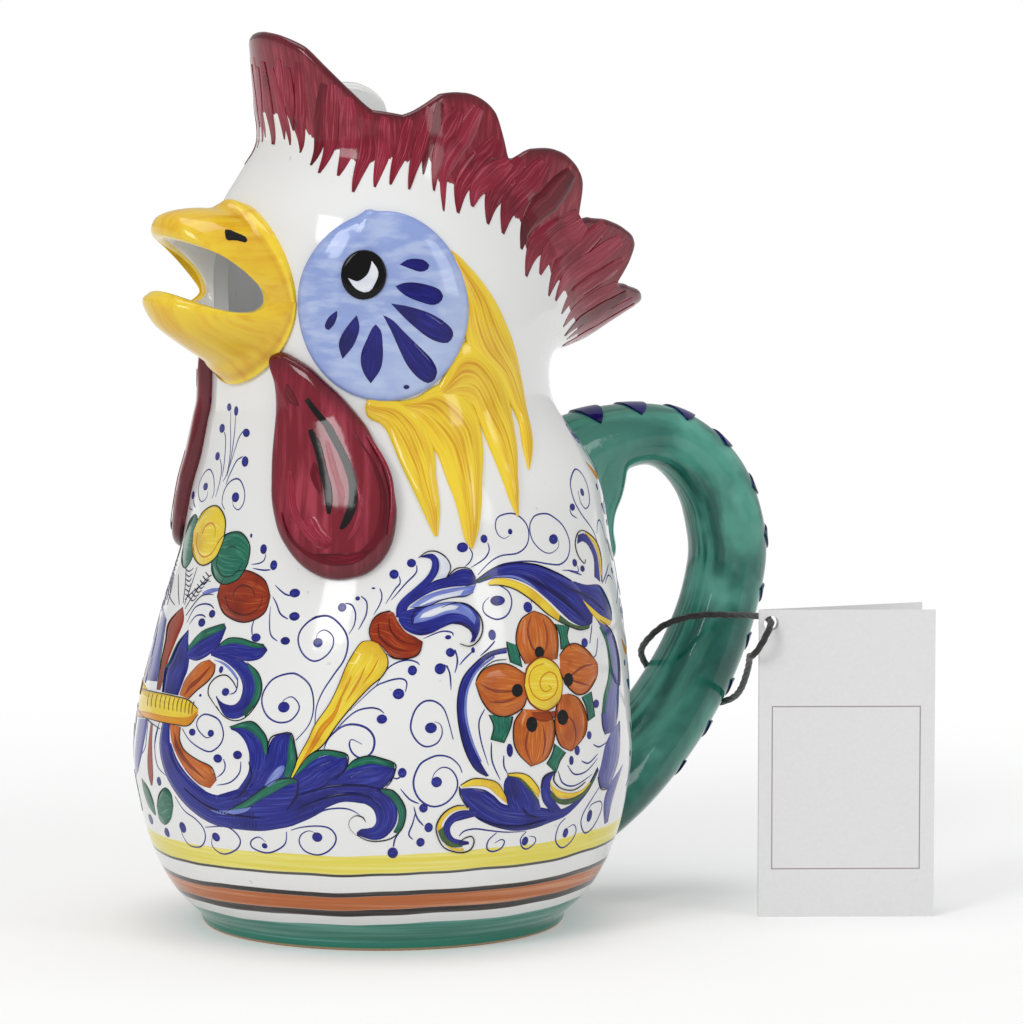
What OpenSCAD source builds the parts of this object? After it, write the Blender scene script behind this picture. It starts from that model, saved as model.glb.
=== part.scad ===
// Glazed earthenware rooster pitcher: a round belly, a hollow head whose scalloped comb is the
// filling mouth, an open beak to pour from, a rear handle, and a folded swing tag tied to it.
// Units are millimetres. +Z is up, the beak points to -X and the handle to +X.
// The origin is the centre of the foot, on the surface that the pitcher stands on.

/* [Overall] */
// Height from the table to the tip of the front lobe of the comb
overall_h = 254; // [244:1:264]
// Thickness of the fired wall
wall = 4.5; // [3.5:0.1:5.5]
// Gap left between a piece that is stuck on and the wall behind it
seat_gap = 0.3; // [0.25:0.05:0.4]

/* [Belly] */
// Diameter of the belly at its widest
belly_d = 142.4; // [136:0.2:148]
// Height of the widest part of the belly
belly_z = 48; // [44:1:52]
// Diameter of the foot, where the glaze ends
foot_d = 104; // [96:1:110]
// Height of the bare clay foot under the glaze
foot_h = 2.5; // [1.5:0.1:3]
// Height of the joint between belly and head
neck_z = 150; // [146:1:153]
// Diameter at that joint
neck_d = 97; // [94:0.2:100]
// Distance that the pitcher's back bulges rearwards above the belly
lean = 5.4; // [3:0.1:7]
// Thickness of the floor inside
floor_t = 6; // [5:0.5:8]

/* [Head and comb] */
// Height of the front lobe of the comb above the valleys beside it
front_lobe_h = 21.5; // [18:0.5:24]
// Heights of the second to the last lobe above the valleys beside them
second_lobe_h = 14; // [12:0.5:16]
third_lobe_h = 15; // [12:0.5:17]
fourth_lobe_h = 15.5; // [12:0.5:17]
rear_lobe_h = 12.5; // [10:0.5:14]
// Reach of the comb's valley line in front of the axis, behind it and to each side
rim_front = 36.2; // [34:0.2:38]
rim_rear = 74; // [70:0.5:77]
rim_side = 35; // [33:0.5:37]
// Height of the valley line at the rear
rim_rear_z = 168; // [165:0.5:171]
// Thickness of the comb's edge
rim_t = 3.2; // [2.6:0.1:4]

/* [Beak] */
// Height of the corners of the mouth above the neck joint, as a share of the head's height
mouth_share = 0.376; // [0.364:0.002:0.388]
// Half of the distance between the corners of the mouth
mouth_half_w = 15; // [13:0.5:16]
// Half width of the collar where the beak grows out of the head
collar_half_w = 23.6; // [22:0.2:24]
// Heights of the top and the bottom of that collar, as such shares
collar_top_share = 0.691; // [0.679:0.002:0.703]
collar_low_share = 0.091; // [0.079:0.002:0.103]
// Reach of the upper and the lower tip in front of the axis
upper_tip_x = 73.2; // [71:0.2:79]
lower_tip_x = 75.6; // [73:0.2:81]
// Heights of the upper and the lower tip, as such shares
upper_tip_share = 0.594; // [0.564:0.002:0.614]
lower_tip_share = 0.388; // [0.376:0.002:0.4]
// Thickness of the beak at its lip
lip_t = 3.4; // [3:0.1:4.2]

/* [Face] */
// Half width of the raised disc round the eye
disc_half_w = 24.4; // [22:0.2:25]
// Half height of the disc, and the height of its centre above the neck joint, as such shares
disc_half_share = 0.315; // [0.295:0.005:0.325]
disc_share = 0.364; // [0.352:0.002:0.376]
// Height that the disc stands proud of the wall
disc_t = 2; // [1.5:0.1:3]
// Radius of the eye, and its height above the disc
eye_r = 6.7; // [5.5:0.1:7.5]
eye_t = 1; // [0.8:0.1:1.6]
// Half width of a wattle
wattle_half_w = 17.5; // [16:0.5:19]
// Height of its top above the neck joint, as such a share, and the height of its bottom
wattle_top_share = 0.194; // [0.17:0.002:0.206]
wattle_low_z = 106.5; // [104:0.5:110]
// Height that the wattle stands proud of the wall
wattle_t = 4; // [3:0.1:5]
// Widest half width of a neck feather, and its height above the wall
feather_half_w = 5.4; // [4.4:0.1:6]
feather_t = 1.2; // [0.9:0.1:1.6]
// Length that a feather hangs below the disc, for each share of it that is asked for
feather_fall = 26; // [24:0.5:27]

/* [Handle] */
// Reach of the handle's centre line behind the axis
handle_x = 117.2; // [113:0.2:121]
// Heights of the centre line at its top and where it meets the belly
handle_top_z = 135; // [132:0.5:137]
handle_low_z = 27; // [24:0.5:30]
// Radius of the grip
grip_r = 11.6; // [10.5:0.1:12.5]
// Length of the small curl that hangs below the upper joint
curl_h = 24; // [20:0.5:26]

/* [Tag] */
// Width, height and thickness of each leaf of the folded card
leaf_w = 50.8; // [45:0.2:56]
leaf_h = 88.9; // [88:0.1:92]
leaf_t = 0.5; // [0.4:0.05:0.7]
// Place of the fold behind the axis, and to the near side of it
fold_x = 93; // [92:0.5:94]
fold_side = 53.5; // [53:0.5:54]
// Angle between the two leaves
fold_open = 18; // [14:1:24]
// Space under the leaf that swings, and between it and the fold's axis
leaf_gap = 0.4; // [0.3:0.05:0.6]
// Diameter of the hole for the cord, and its place from the fold and the top edge
tag_hole_d = 4.2; // [4:0.1:5]
tag_hole_in = 3.8; // [3.6:0.1:4.2]
// Diameter of the cord
cord_d = 2; // [1.6:0.1:2.2]

/* [Hidden] */

glaze_white = "#f2f2f0";
glaze_crimson = "#7d1528";
glaze_yellow = "#efb81c";
glaze_sky = "#8fa9dd";
glaze_black = "#121212";
glaze_green = "#1f7a66";
bare_clay = "#d8b893";
card_white = "#eeeeec";
cord_black = "#0b0b0b";

round_fn = 120;
belly_r = belly_d / 2;
foot_r = foot_d / 2;
neck_r = neck_d / 2;
rim_z = overall_h - front_lobe_h;
head_h = rim_z - neck_z;
mouth_z = neck_z + head_h * mouth_share;
collar_top_z = neck_z + head_h * collar_top_share;
collar_low_z = neck_z + head_h * collar_low_share;
upper_tip_z = neck_z + head_h * upper_tip_share;
lower_tip_z = neck_z + head_h * lower_tip_share;
disc_half_h = head_h * disc_half_share;
disc_z = neck_z + head_h * disc_share;
wattle_top_z = neck_z + head_h * wattle_top_share;

// Outline of the belly below and above its widest ring: shares of the height, then of the radius,
// between the two named ends, and above it the share of the lean.
low_shares = [[0, 0], [0.035, 0.06], [0.13, 0.3], [0.25, 0.51], [0.42, 0.71], [0.66, 0.88]];
high_shares = [[0, 1, 0], [0.137, 0.961, 0.12], [0.265, 0.878, 0.39], [0.443, 0.725, 0.72],
    [0.586, 0.563, 0.98], [0.752, 0.437, 1], [0.843, 0.293, 0.8], [0.941, 0.096, 0.24], [1, 0, 0]];
// Rings of the head above the neck joint. Each row gives the shares for the front height, rear
// height, front reach, rear reach and side reach on the way from the neck to the comb's valley
// line, then the power that bends the ring down towards the rear.
head_shares = [
    [0.155, 0.28, 0.02, -0.04, 0.04, 1.2],
    [0.32, 0.47, 0, -0.03, 0.04, 1.4],
    [0.488, 0.58, -0.01, 0.05, 0.07, 1.6],
    [0.655, 0.64, 0.2, 0.23, 0.25, 1.8],
    [0.774, 0.7, 0.66, 0.47, 0.62, 2],
    [0.881, 0.81, 1.1, 0.72, 0.9, 2.1],
    [1, 1, 1, 1, 1, 2.2]];

// Each ring is [front z, rear z, front reach, rear reach, side reach, power].
low_rings = [for (s = low_shares)
    let (z = foot_h + (belly_z - foot_h) * s[0], r = foot_r + (belly_r - foot_r) * s[1])
    [z, z, r, r, r, 1]];
high_rings = [for (s = high_shares)
    let (z = belly_z + (neck_z - belly_z) * s[0], r = neck_r + (belly_r - neck_r) * s[1])
    [z, z, r - lean * s[2], r + lean * s[2], r, 1]];
head_rings = [for (s = head_shares)
    [neck_z + head_h * s[0], neck_z + (rim_rear_z - neck_z) * s[1],
     neck_r + (rim_front - neck_r) * s[2], neck_r + (rim_rear - neck_r) * s[3],
     neck_r + (rim_side - neck_r) * s[4], s[5]]];
rings = concat(low_rings, high_rings, head_rings);
neck_ring = len(low_rings) + len(high_rings) - 1;
comb_ring = neck_ring + 5;
top_ring = len(rings) - 1;

// Outline of the comb from the front to the rear: angle from the front, the lobe that it belongs
// to, and the share of that lobe's height.
lobe_heights = [front_lobe_h, second_lobe_h, third_lobe_h, fourth_lobe_h, rear_lobe_h];
lobe_shares = [[0, 0, 1], [14, 0, 0.96], [28, 0, 0.83], [38, 0, 0.56], [47, 0, 0.26], [60, 0, 0.02],
    [67, 1, 0.06], [73.5, 1, 0.2], [81, 1, 0.5], [89, 1, 0.76], [95.5, 1, 0.97], [99.5, 1, 1],
    [103, 1, 0.88], [105.3, 1, 0.5], [107.5, 1, 0.16],
    [113, 2, 0.6], [119.5, 2, 0.95], [124.5, 2, 1], [127.5, 2, 0.84], [130, 2, 0.28],
    [133, 3, 0.44], [138, 3, 0.74], [144, 3, 0.97], [148, 3, 1], [150.5, 3, 0.72], [152.8, 3, 0.3],
    [158, 4, 0.58], [166, 4, 0.9], [174, 4, 1], [180, 4, 0.97]];
lobe_edge = [for (s = lobe_shares) [s[0], lobe_heights[s[1]] * s[2]]];

// Smooth curve through a list of values, at position t counted in list entries.
function cubic(a, b, c, d, f) =
    b + f * ((c - a) / 2 + f * ((2 * a - 5 * b + 4 * c - d) / 2 + f * (3 * b - a - 3 * c + d) / 2));
function spline(list, t) =
    let (last = len(list) - 1, i = min(max(floor(t), 0), last - 1))
    cubic(list[max(i - 1, 0)], list[i], list[i + 1], list[min(i + 2, last)], t - i);
// The same through a closed list.
function closed_spline(list, t) =
    let (n = len(list), i = floor(t))
    cubic(list[(i + n - 1) % n], list[i % n], list[(i + 1) % n], list[(i + 2) % n], t - i);
function unit(v) = v / norm(v);
function bezier(a, b, c, f) = (1 - f) * (1 - f) * a + 2 * f * (1 - f) * b + f * f * c;

// Point on the outside of the pitcher at angle a from the front, on ring t. Positive angles are
// on the near side, the rooster's left.
function ring_point(a, t) =
    let (g = spline(rings, t), x = -cos(a) * (cos(a) > 0 ? g[2] : g[3]),
        along = (x + g[2]) / (g[2] + g[3]))
    [x, -g[4] * sin(a), g[0] + (g[1] - g[0]) * pow(max(along, 0), g[5])];
probe_a = 0.5;
probe_t = 0.02;
// The same, carried straight on past the comb's valley line by e.
function skin(a, t, e = 0) =
    ring_point(a, t) + (e == 0 ? [0, 0, 0]
        : e * unit(ring_point(a, top_ring) - ring_point(a, top_ring - probe_t)));
function skin_normal(a, t, e = 0) =
    unit(cross(skin(a + probe_a, t, e) - skin(a - probe_a, t, e),
        skin(a, min(t + probe_t, top_ring), e) - skin(a, min(t, top_ring) - probe_t, e)));
// Ring that passes height z at angle a, found by halving.
halvings = 14;
function ring_at(a, z, low = 0, high = top_ring, steps = halvings) =
    let (mid = (low + high) / 2)
    steps == 0 ? mid
    : ring_point(a, mid)[2] < z ? ring_at(a, z, mid, high, steps - 1)
    : ring_at(a, z, low, mid, steps - 1);
// Point that stands h off the wall at angle a and height z.
function over_skin(a, z, h) = let (t = ring_at(a, z)) skin(a, t) + h * skin_normal(a, t);
// Reach of the pitcher's back behind the axis at height z.
function back_at(z) = ring_point(180, ring_at(180, z))[0];

// Height of the comb's edge above its valley line at angle a, from 0 at the front to 180.
function lobe(a, k = 0) =
    a > lobe_edge[k + 1][0] ? lobe(a, k + 1)
    : let (p = lobe_edge[k], q = lobe_edge[k + 1],
        before = lobe_edge[max(k - 1, 0)], after = lobe_edge[min(k + 2, len(lobe_edge) - 1)])
    max(cubic(before[1], p[1], q[1], after[1], (a - p[0]) / (q[0] - p[0])), 0);

// Solid carried along closed loops of points, one loop a row. ring joins the last loop to the
// first. slant folds each four-sided face along its other diagonal.
module loft(loops, ring = false, slant = false) {
    n = len(loops[0]);
    m = len(loops);
    sides = [for (i = [0:m - (ring ? 1 : 2)]) for (j = [0:n - 1])
        let (a = i * n + j, b = i * n + (j + 1) % n,
            c = ((i + 1) % m) * n + (j + 1) % n, d = ((i + 1) % m) * n + j)
        each slant ? [[a, b, d], [b, c, d]] : [[a, b, c], [a, c, d]]];
    caps = ring ? [] : [[for (j = [n - 1:-1:0]) j], [for (j = [0:n - 1]) (m - 1) * n + j]];
    polyhedron([for (l = loops) each l], concat(sides, caps), convexity = 8);
}
// Draws its child as the far side's twin.
module far_side() {
    mirror([0, 1, 0]) children();
}

module foot() {
    color(bare_clay) cylinder(h = foot_h, r = foot_r, $fn = round_fn);
}

belly_turn = 5;
belly_steps = 20;
// One loop round the belly on ring t, moved out by off.
function belly_loop(t, off) =
    let (g = spline(rings, t))
    [for (a = [0:belly_turn:360 - belly_turn])
        [-cos(a) * ((cos(a) > 0 ? g[2] : g[3]) + off), (g[4] + off) * sin(a), g[0]]];
belly_ts = [for (i = [0:belly_steps]) i * neck_ring / belly_steps];
module belly() {
    floor_z = foot_h + floor_t;
    floor_ring = ring_at(0, floor_z);
    color(glaze_white)
        loft(concat([for (t = belly_ts) belly_loop(t, 0)],
            [for (i = [belly_steps:-1:0]) if (belly_ts[i] > floor_ring) belly_loop(belly_ts[i], -wall)],
            [belly_loop(floor_ring, -wall)]));
}

turn_step = 3;
head_steps = 6;
comb_steps = 3;
edge_steps = 3;
function wall_inside(a, t, e, thick) = skin(a, t, e) - thick * skin_normal(a, t, e);
module head() {
    outer_ts = [for (i = [0:head_steps]) neck_ring + (comb_ring - neck_ring) * i / head_steps];
    loops = [for (a = [0:turn_step:360 - turn_step])
        let (low = ring_point(a, neck_ring))
        concat([for (t = outer_ts) skin(a, t)],
            [for (i = [head_steps:-1:1]) wall_inside(a, outer_ts[i], 0, wall)],
            [[low[0] * (1 - wall / neck_r), low[1] * (1 - wall / neck_r), low[2]]])];
    color(glaze_white)
        difference() {
            loft(loops, ring = true);
            throat();
        }
}

// Way through the head's wall from the mouth of the beak.
throat_steps = 32;
throat_shares = [0.77, 0.75];
throat_up = (collar_top_z - mouth_z) * throat_shares[0];
throat_down = (mouth_z - collar_low_z) * throat_shares[1];
module throat() {
    outline = [for (i = [0:throat_steps - 1])
        let (p = i * 360 / throat_steps)
        [mouth_z + sin(p) * (sin(p) > 0 ? throat_up : throat_down), mouth_half_w * cos(p)]];
    translate([-neck_r + wall * 2, 0, 0])
        rotate([0, -90, 0])
            linear_extrude(neck_r) polygon(outline);
}

module comb() {
    inner_ts = [for (i = [comb_steps:-1:0]) comb_ring + (top_ring - comb_ring) * i / comb_steps];
    round_t = rim_t / 2;
    loops = [for (a = [0:turn_step:360 - turn_step])
        let (h = max(lobe(a > 180 ? 360 - a : a) - round_t, 0))
        concat([for (i = [comb_steps:-1:0]) skin(a, inner_ts[i])],
            [for (i = [1:edge_steps]) skin(a, top_ring, (h + round_t / 2) * i / edge_steps)],
            [wall_inside(a, top_ring, h + round_t, round_t)],
            [for (i = [edge_steps:-1:1])
                wall_inside(a, top_ring, (h + round_t / 2) * i / edge_steps,
                    wall + (rim_t - wall) * i / edge_steps)],
            [for (t = inner_ts) wall_inside(a, t, 0, wall)])];
    color(glaze_crimson) loft(loops, ring = true, slant = true);
}

// Half of the beak, swept round the mouth from its near corner to the far one. collar_z, tip_x and
// tip_z are its own; bulge gives shares of the way from collar to tip for the bend of its back.
beak_steps = 22;
lip_steps = 5;
// How far the beak's back takes its width from the collar, and how far its inside follows the bend
// of its back, forwards and up. Then the lip: its thickness inside, and how far its edge is rounded.
back_share = 0.35;
inside_shares = [0.55, 0.9];
lip_shares = [0.9, 0.1, 0.12];
function side_angle(y) = asin(y / neck_r);
function collar_point(y, z) = over_skin(side_angle(y), z, seat_gap);
function beak_loop(p, collar_z, bore_z, tip_x, tip_z, bulge, dip) =
    let (c = cos(p), n = max(sin(p), 0), up = sign(collar_z - mouth_z),
        z0 = mouth_z + up * seat_gap / 2,
        corner_x = neck_r * cos(side_angle(mouth_half_w)),
        outer_y = (mouth_half_w + lip_t) * c,
        lip_z = z0 + (tip_z - z0) * n - up * dip * 4 * n * (1 - n),
        lip_x = corner_x + lip_t * (1 - n) + (tip_x - corner_x) * n,
        collar = collar_point(collar_half_w * c, z0 + (collar_z - z0) * n),
        lip = [-lip_x, -outer_y, lip_z],
        bend = [-(corner_x + lip_t + (lip_x - corner_x - lip_t) * bulge[0]),
            -(collar_half_w * back_share + (mouth_half_w + lip_t) * (1 - back_share)) * c,
            lip_z + (collar[2] - lip_z) * bulge[1]],
        bore = collar_point(mouth_half_w * c, z0 + (bore_z - z0) * n),
        lip_in = [-lip_x + lip_t * n * lip_shares[0], -mouth_half_w * c, lip_z],
        bend_in = [-(corner_x + (lip_x - corner_x) * bulge[0] * inside_shares[0]),
            -mouth_half_w * c, lip_z + (bore[2] - lip_z) * bulge[1] * inside_shares[1]],
        lip_top = (lip + lip_in) / 2
            + [-lip_t * lip_shares[1], 0, -up * lip_t * lip_shares[2] * n],
        half_y = (collar_half_w + mouth_half_w) / 2 * c)
    concat([for (i = [0:lip_steps]) bezier(collar, bend, lip, i / lip_steps)],
        [lip_top],
        [for (i = [0:lip_steps]) bezier(lip_in, bend_in, bore, i / lip_steps)],
        [collar_point(half_y, (collar[2] + bore[2]) / 2)]);
module beak_half(collar_z, bore_z, tip_x, tip_z, bulge, dip) {
    turn = collar_z > mouth_z ? 1 : -1;
    loft([for (i = [0:beak_steps])
        beak_loop(90 + turn * (180 * i / beak_steps - 90), collar_z, bore_z, tip_x, tip_z,
            bulge, dip)]);
}
upper_bulge_shares = [0.8, 1.15];
lower_bulge_shares = [0.62, 0.68];
lower_dip_share = -0.145;
module beak_upper() {
    color(glaze_yellow)
        beak_half(collar_top_z, mouth_z + throat_up, upper_tip_x, upper_tip_z,
            upper_bulge_shares, 0);
}
module beak_lower() {
    color(glaze_yellow)
        beak_half(collar_low_z, mouth_z - throat_down, lower_tip_x, lower_tip_z,
            lower_bulge_shares, (mouth_z - collar_low_z) * lower_dip_share);
}

// Raised pad on the wall. outline gives its edge, as places across and up from its centre in
// units of half_w and half_h. base is the height of its underside off the wall.
pad_points = 28;
under_shares = [0.02, 0.25, 0.5, 0.75, 1];
crown_shares = [[1, 0.45], [0.93, 0.8], [0.82, 0.93], [0.55, 1], [0.28, 1], [0.02, 1]];
function disc_edge(p) = [cos(p), sin(p)];
module pad(centre_a, centre_z, half_w, half_h, edge, base, thick) {
    n = len(edge);
    function on_wall(e, share, h) =
        over_skin(centre_a + e[0] * share * half_w / neck_r * 180 / PI,
            centre_z + e[1] * share * half_h, h);
    under = [for (s = under_shares) [for (e = edge) on_wall(e, s, base)]];
    crown = [for (s = crown_shares) [for (e = edge) on_wall(e, s[0], base + thick * s[1])]];
    loft(concat(under, crown));
}

disc_a = 61;
module eye_disc() {
    edge = [for (i = [0:pad_points - 1]) disc_edge(-i * 360 / pad_points)];
    color(glaze_sky) pad(disc_a, disc_z, disc_half_w, disc_half_h, edge, seat_gap, disc_t);
}
module eye_disc_left() {
    eye_disc();
}
module eye_disc_right() {
    far_side() eye_disc();
}

// The eye sits up and forward of the disc's centre, by these shares of the disc's half sizes.
eye_shares = [-0.22, 0.34];
eye_points = 18;
module eye() {
    edge = [for (i = [0:eye_points - 1]) disc_edge(-i * 360 / eye_points)];
    color(glaze_black)
        pad(disc_a + eye_shares[0] * disc_half_w / neck_r * 180 / PI,
            disc_z + eye_shares[1] * disc_half_h, eye_r, eye_r, edge,
            seat_gap * 2 + disc_t, eye_t);
}
module eye_left() {
    eye();
}
module eye_right() {
    far_side() eye();
}

wattle_a = 40.5;
wattle_points = 28;
// Edge of the wattle from its bottom, as shares of its half width and half height.
wattle_shares = [[0.15, -1], [0.62, -0.94], [0.98, -0.72], [1.02, -0.4], [0.9, 0], [0.58, 0.36],
    [0.14, 0.7], [-0.42, 0.94], [-0.85, 0.98], [-0.98, 0.72], [-0.97, 0.2], [-0.88, -0.3],
    [-0.6, -0.7], [-0.25, -0.92]];
module wattle() {
    edge = [for (i = [0:wattle_points - 1])
        closed_spline(wattle_shares, i * len(wattle_shares) / wattle_points)];
    half_h = (wattle_top_z - wattle_low_z) / 2;
    color(glaze_crimson)
        pad(wattle_a, wattle_low_z + half_h, wattle_half_w, half_h,
            [for (i = [wattle_points - 1:-1:0]) edge[i]], seat_gap, wattle_t);
}
module wattle_left() {
    wattle();
}
module wattle_right() {
    far_side() wattle();
}

// Neck feathers: root, middle and tip of each, as shares of the disc's half sizes, measured from
// the disc's centre, then the widest half width as a share of the named one. Below the disc's
// lower edge, at a share of -1, the heights are shares of the feather's fall.
feather_shares = [
    [[-0.16, -1.1], [0.22, -1.55], [0.38, -2.46], 1.05],
    [[0.64, -0.95], [0.76, -1.55], [0.76, -2.6], 1],
    [[1.04, -0.42], [1.2, -1.02], [1.18, -2.3], 1],
    [[0.88, 0.66], [1.48, -0.42], [1.5, -1.9], 1.05]];
feather_steps = 9;
// Half width along a feather, from root to tip, and how far its edges drop below its middle.
edge_drop_share = 0.6;
blade_shares = [0.12, 0.8, 1, 0.92, 0.66, 0.3, 0.06];
across_shares = [1, 0.5, 0, -0.5, -1];
function fall_at(share) = max(share, -1) * disc_half_h + min(share + 1, 0) * feather_fall;
module feather(f) {
    function on_wall(s, off, h) =
        over_skin(disc_a + (s[0] * disc_half_w + off[0]) / neck_r * 180 / PI,
            disc_z + fall_at(s[1]) + off[1], h);
    function mm(s) = [s[0] * disc_half_w, fall_at(s[1])];
    loops = [for (i = [0:feather_steps])
        let (u = i / feather_steps,
            s = bezier(f[0], 2 * f[1] - (f[0] + f[2]) / 2, f[2], u),
            ahead = unit(mm(bezier(f[0], 2 * f[1] - (f[0] + f[2]) / 2, f[2], u + probe_t)) - mm(s)),
            side = [-ahead[1], ahead[0]],
            half = feather_half_w * f[3] * spline(blade_shares, u * (len(blade_shares) - 1)))
        concat([for (k = across_shares) on_wall(s, side * half * k, seat_gap)],
            [for (i = [len(across_shares) - 1:-1:0])
                let (k = across_shares[i])
                on_wall(s, side * half * k, seat_gap + feather_t * (1 - k * k * edge_drop_share))])];
    loft(loops);
}
module neck_feathers() {
    color(glaze_yellow)
        for (f = feather_shares)
            feather(f);
}
module neck_feathers_left() {
    neck_feathers();
}
module neck_feathers_right() {
    far_side() neck_feathers();
}

// Centre line of the handle: share of the way from the belly's wall to the handle's reach, share
// of the height between its low and top values, then half thickness and half width as shares of
// the grip's radius.
handle_shares = [[-0.12, 0.895, 1.2, 1.1], [0.01, 0.949, 1.06, 1.02], [0.245, 0.986, 0.9, 0.95],
    [0.47, 1, 0.78, 0.9], [0.64, 0.981, 0.8, 0.9], [0.793, 0.92, 0.87, 0.92],
    [0.908, 0.843, 0.94, 0.96], [0.976, 0.75, 0.99, 1], [1, 0.667, 1, 1], [0.971, 0.583, 1, 1],
    [0.896, 0.48, 1, 1.02], [0.758, 0.361, 1.02, 1.08], [0.573, 0.25, 1.04, 1.15],
    [0.369, 0.153, 1.06, 1.28], [0.155, 0.069, 1.1, 1.42], [-0.12, -0.02, 1.15, 1.5]];
handle_steps = 36;
handle_sides = 16;
// The curl below the upper joint: share of the grip's radius off the wall, share of the curl's
// length below its top, then half thickness and half width as shares of the grip's radius.
curl_shares = [[0.75, -0.35, 0.75, 0.9], [0.6, 0, 0.62, 0.85], [0.42, 0.3, 0.5, 0.75],
    [0.36, 0.6, 0.42, 0.7], [0.45, 0.85, 0.38, 0.6], [0.55, 1, 0.15, 0.3]];
curl_steps = 10;
curl_top_share = 0.86;
curl_top_z = handle_low_z + (handle_top_z - handle_low_z) * curl_top_share;
// Each gives [reach, height, half thickness, half width] at share u of its length.
function handle_at(u) =
    let (s = spline(handle_shares, u * (len(handle_shares) - 1)),
        z = handle_low_z + (handle_top_z - handle_low_z) * s[1], r = back_at(z))
    [r + (handle_x - r) * s[0], z, grip_r * s[2], grip_r * s[3]];
function curl_at(u) =
    let (s = spline(curl_shares, u * (len(curl_shares) - 1)), z = curl_top_z - curl_h * s[1])
    [back_at(z) + grip_r * s[0], z, grip_r * s[2], grip_r * s[3]];
function bar_loop(h, ahead) =
    let (along = unit([ahead[0], ahead[1]]))
    [for (k = [0:handle_sides - 1])
        let (q = -360 * k / handle_sides)
        [h[0] + along[1] * h[2] * cos(q), h[3] * sin(q), h[1] - along[0] * h[2] * cos(q)]];
module handle() {
    color(glaze_green)
        difference() {
            union() {
                loft([for (i = [0:handle_steps])
                    let (u = i / handle_steps)
                    bar_loop(handle_at(u),
                        handle_at(min(u + probe_t, 1)) - handle_at(max(u - probe_t, 0)))]);
                loft([for (i = [0:curl_steps])
                    let (u = i / curl_steps)
                    bar_loop(curl_at(u),
                        curl_at(min(u + probe_t, 1)) - curl_at(max(u - probe_t, 0)))]);
            }
            loft([for (t = belly_ts) belly_loop(t, seat_gap)]);
        }
}

// The folded card stands on the table, its fold towards the handle and its front to the near side.
fold_turn = -30;
tag_hole_z = leaf_h - tag_hole_in;
module at_fold() {
    translate([fold_x, -fold_side, 0]) rotate([0, 0, fold_turn]) children();
}
module leaf(low) {
    difference() {
        translate([leaf_gap, 0, low]) cube([leaf_w - leaf_gap, leaf_t, leaf_h - low]);
        translate([tag_hole_in, -leaf_t, tag_hole_z])
            rotate([-90, 0, 0]) cylinder(h = leaf_t * 3, d = tag_hole_d, $fn = 32);
    }
}
module tag_front_leaf() {
    color(card_white) at_fold() leaf(0);
}
// The swinging leaf turns about the fold's line, on the inner face of the front leaf.
module tag_back_leaf() {
    color(card_white)
        at_fold()
            translate([0, leaf_t + leaf_gap / 2, 0]) rotate([0, 0, fold_open]) leaf(leaf_gap);
}

// Route of the cord: through the front leaf's hole, round the handle, and back through the rear
// leaf's hole.
cord_route = [[96.5, -54.5, 85.5], [95.5, -56.5, 85.5], [93.5, -58.5, 84], [91, -59, 80.5],
    [90, -56.5, 77], [91, -52.5, 75.5], [93.5, -48.5, 75], [97, -43, 73.5], [102, -34.5, 69],
    [108, -22, 61.5], [113, -9.5, 56.5], [114, 1.5, 53.5], [112.5, 10, 53], [108, 14, 55.5],
    [102, 14.5, 60], [96, 11.5, 65.5], [90.5, 5, 70.5], [88, -3.5, 75.5], [89, -10.5, 80],
    [94, -15.5, 82.5], [98.5, -21, 83.5], [100.5, -28, 84], [100.5, -36, 85], [99.5, -42.5, 85.5],
    [98.5, -48, 86], [97.5, -52, 86], [96.5, -54.5, 85.5]];
cord_sides = 8;
cord_rings = 44;
module tag_cord() {
    last = len(cord_route) - 1;
    ring_gap = last / cord_rings;
    loops = [for (i = [0:cord_rings])
        let (t = i * ring_gap, p = spline(cord_route, t),
            ahead = spline(cord_route, min(t + probe_t, last))
                - spline(cord_route, max(t - probe_t, 0)),
            side = unit(cross(ahead, [0, 0, 1])), up = unit(cross(side, ahead)))
        [for (k = [0:cord_sides - 1])
            let (q = 360 * k / cord_sides) p + (side * cos(q) + up * sin(q)) * cord_d / 2]];
    color(cord_black) loft(loops);
}

foot();
belly();
head();
comb();
beak_upper();
beak_lower();
eye_disc_left();
eye_disc_right();
eye_left();
eye_right();
wattle_left();
wattle_right();
neck_feathers_left();
neck_feathers_right();
handle();
tag_front_leaf();
tag_back_leaf();
tag_cord();
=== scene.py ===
import bmesh
import bpy
import numpy as np
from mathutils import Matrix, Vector


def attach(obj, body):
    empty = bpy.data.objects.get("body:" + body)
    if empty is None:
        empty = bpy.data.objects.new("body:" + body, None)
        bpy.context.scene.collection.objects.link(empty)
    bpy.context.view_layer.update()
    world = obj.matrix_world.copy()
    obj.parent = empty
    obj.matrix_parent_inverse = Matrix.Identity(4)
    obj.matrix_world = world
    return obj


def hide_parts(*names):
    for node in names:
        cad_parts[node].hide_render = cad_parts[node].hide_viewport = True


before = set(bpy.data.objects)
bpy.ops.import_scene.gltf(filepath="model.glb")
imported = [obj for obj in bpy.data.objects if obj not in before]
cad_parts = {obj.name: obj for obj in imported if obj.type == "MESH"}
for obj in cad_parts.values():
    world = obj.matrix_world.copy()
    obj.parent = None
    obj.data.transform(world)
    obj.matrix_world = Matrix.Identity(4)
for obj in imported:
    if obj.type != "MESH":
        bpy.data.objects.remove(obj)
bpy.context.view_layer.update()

MM = 0.001

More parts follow.
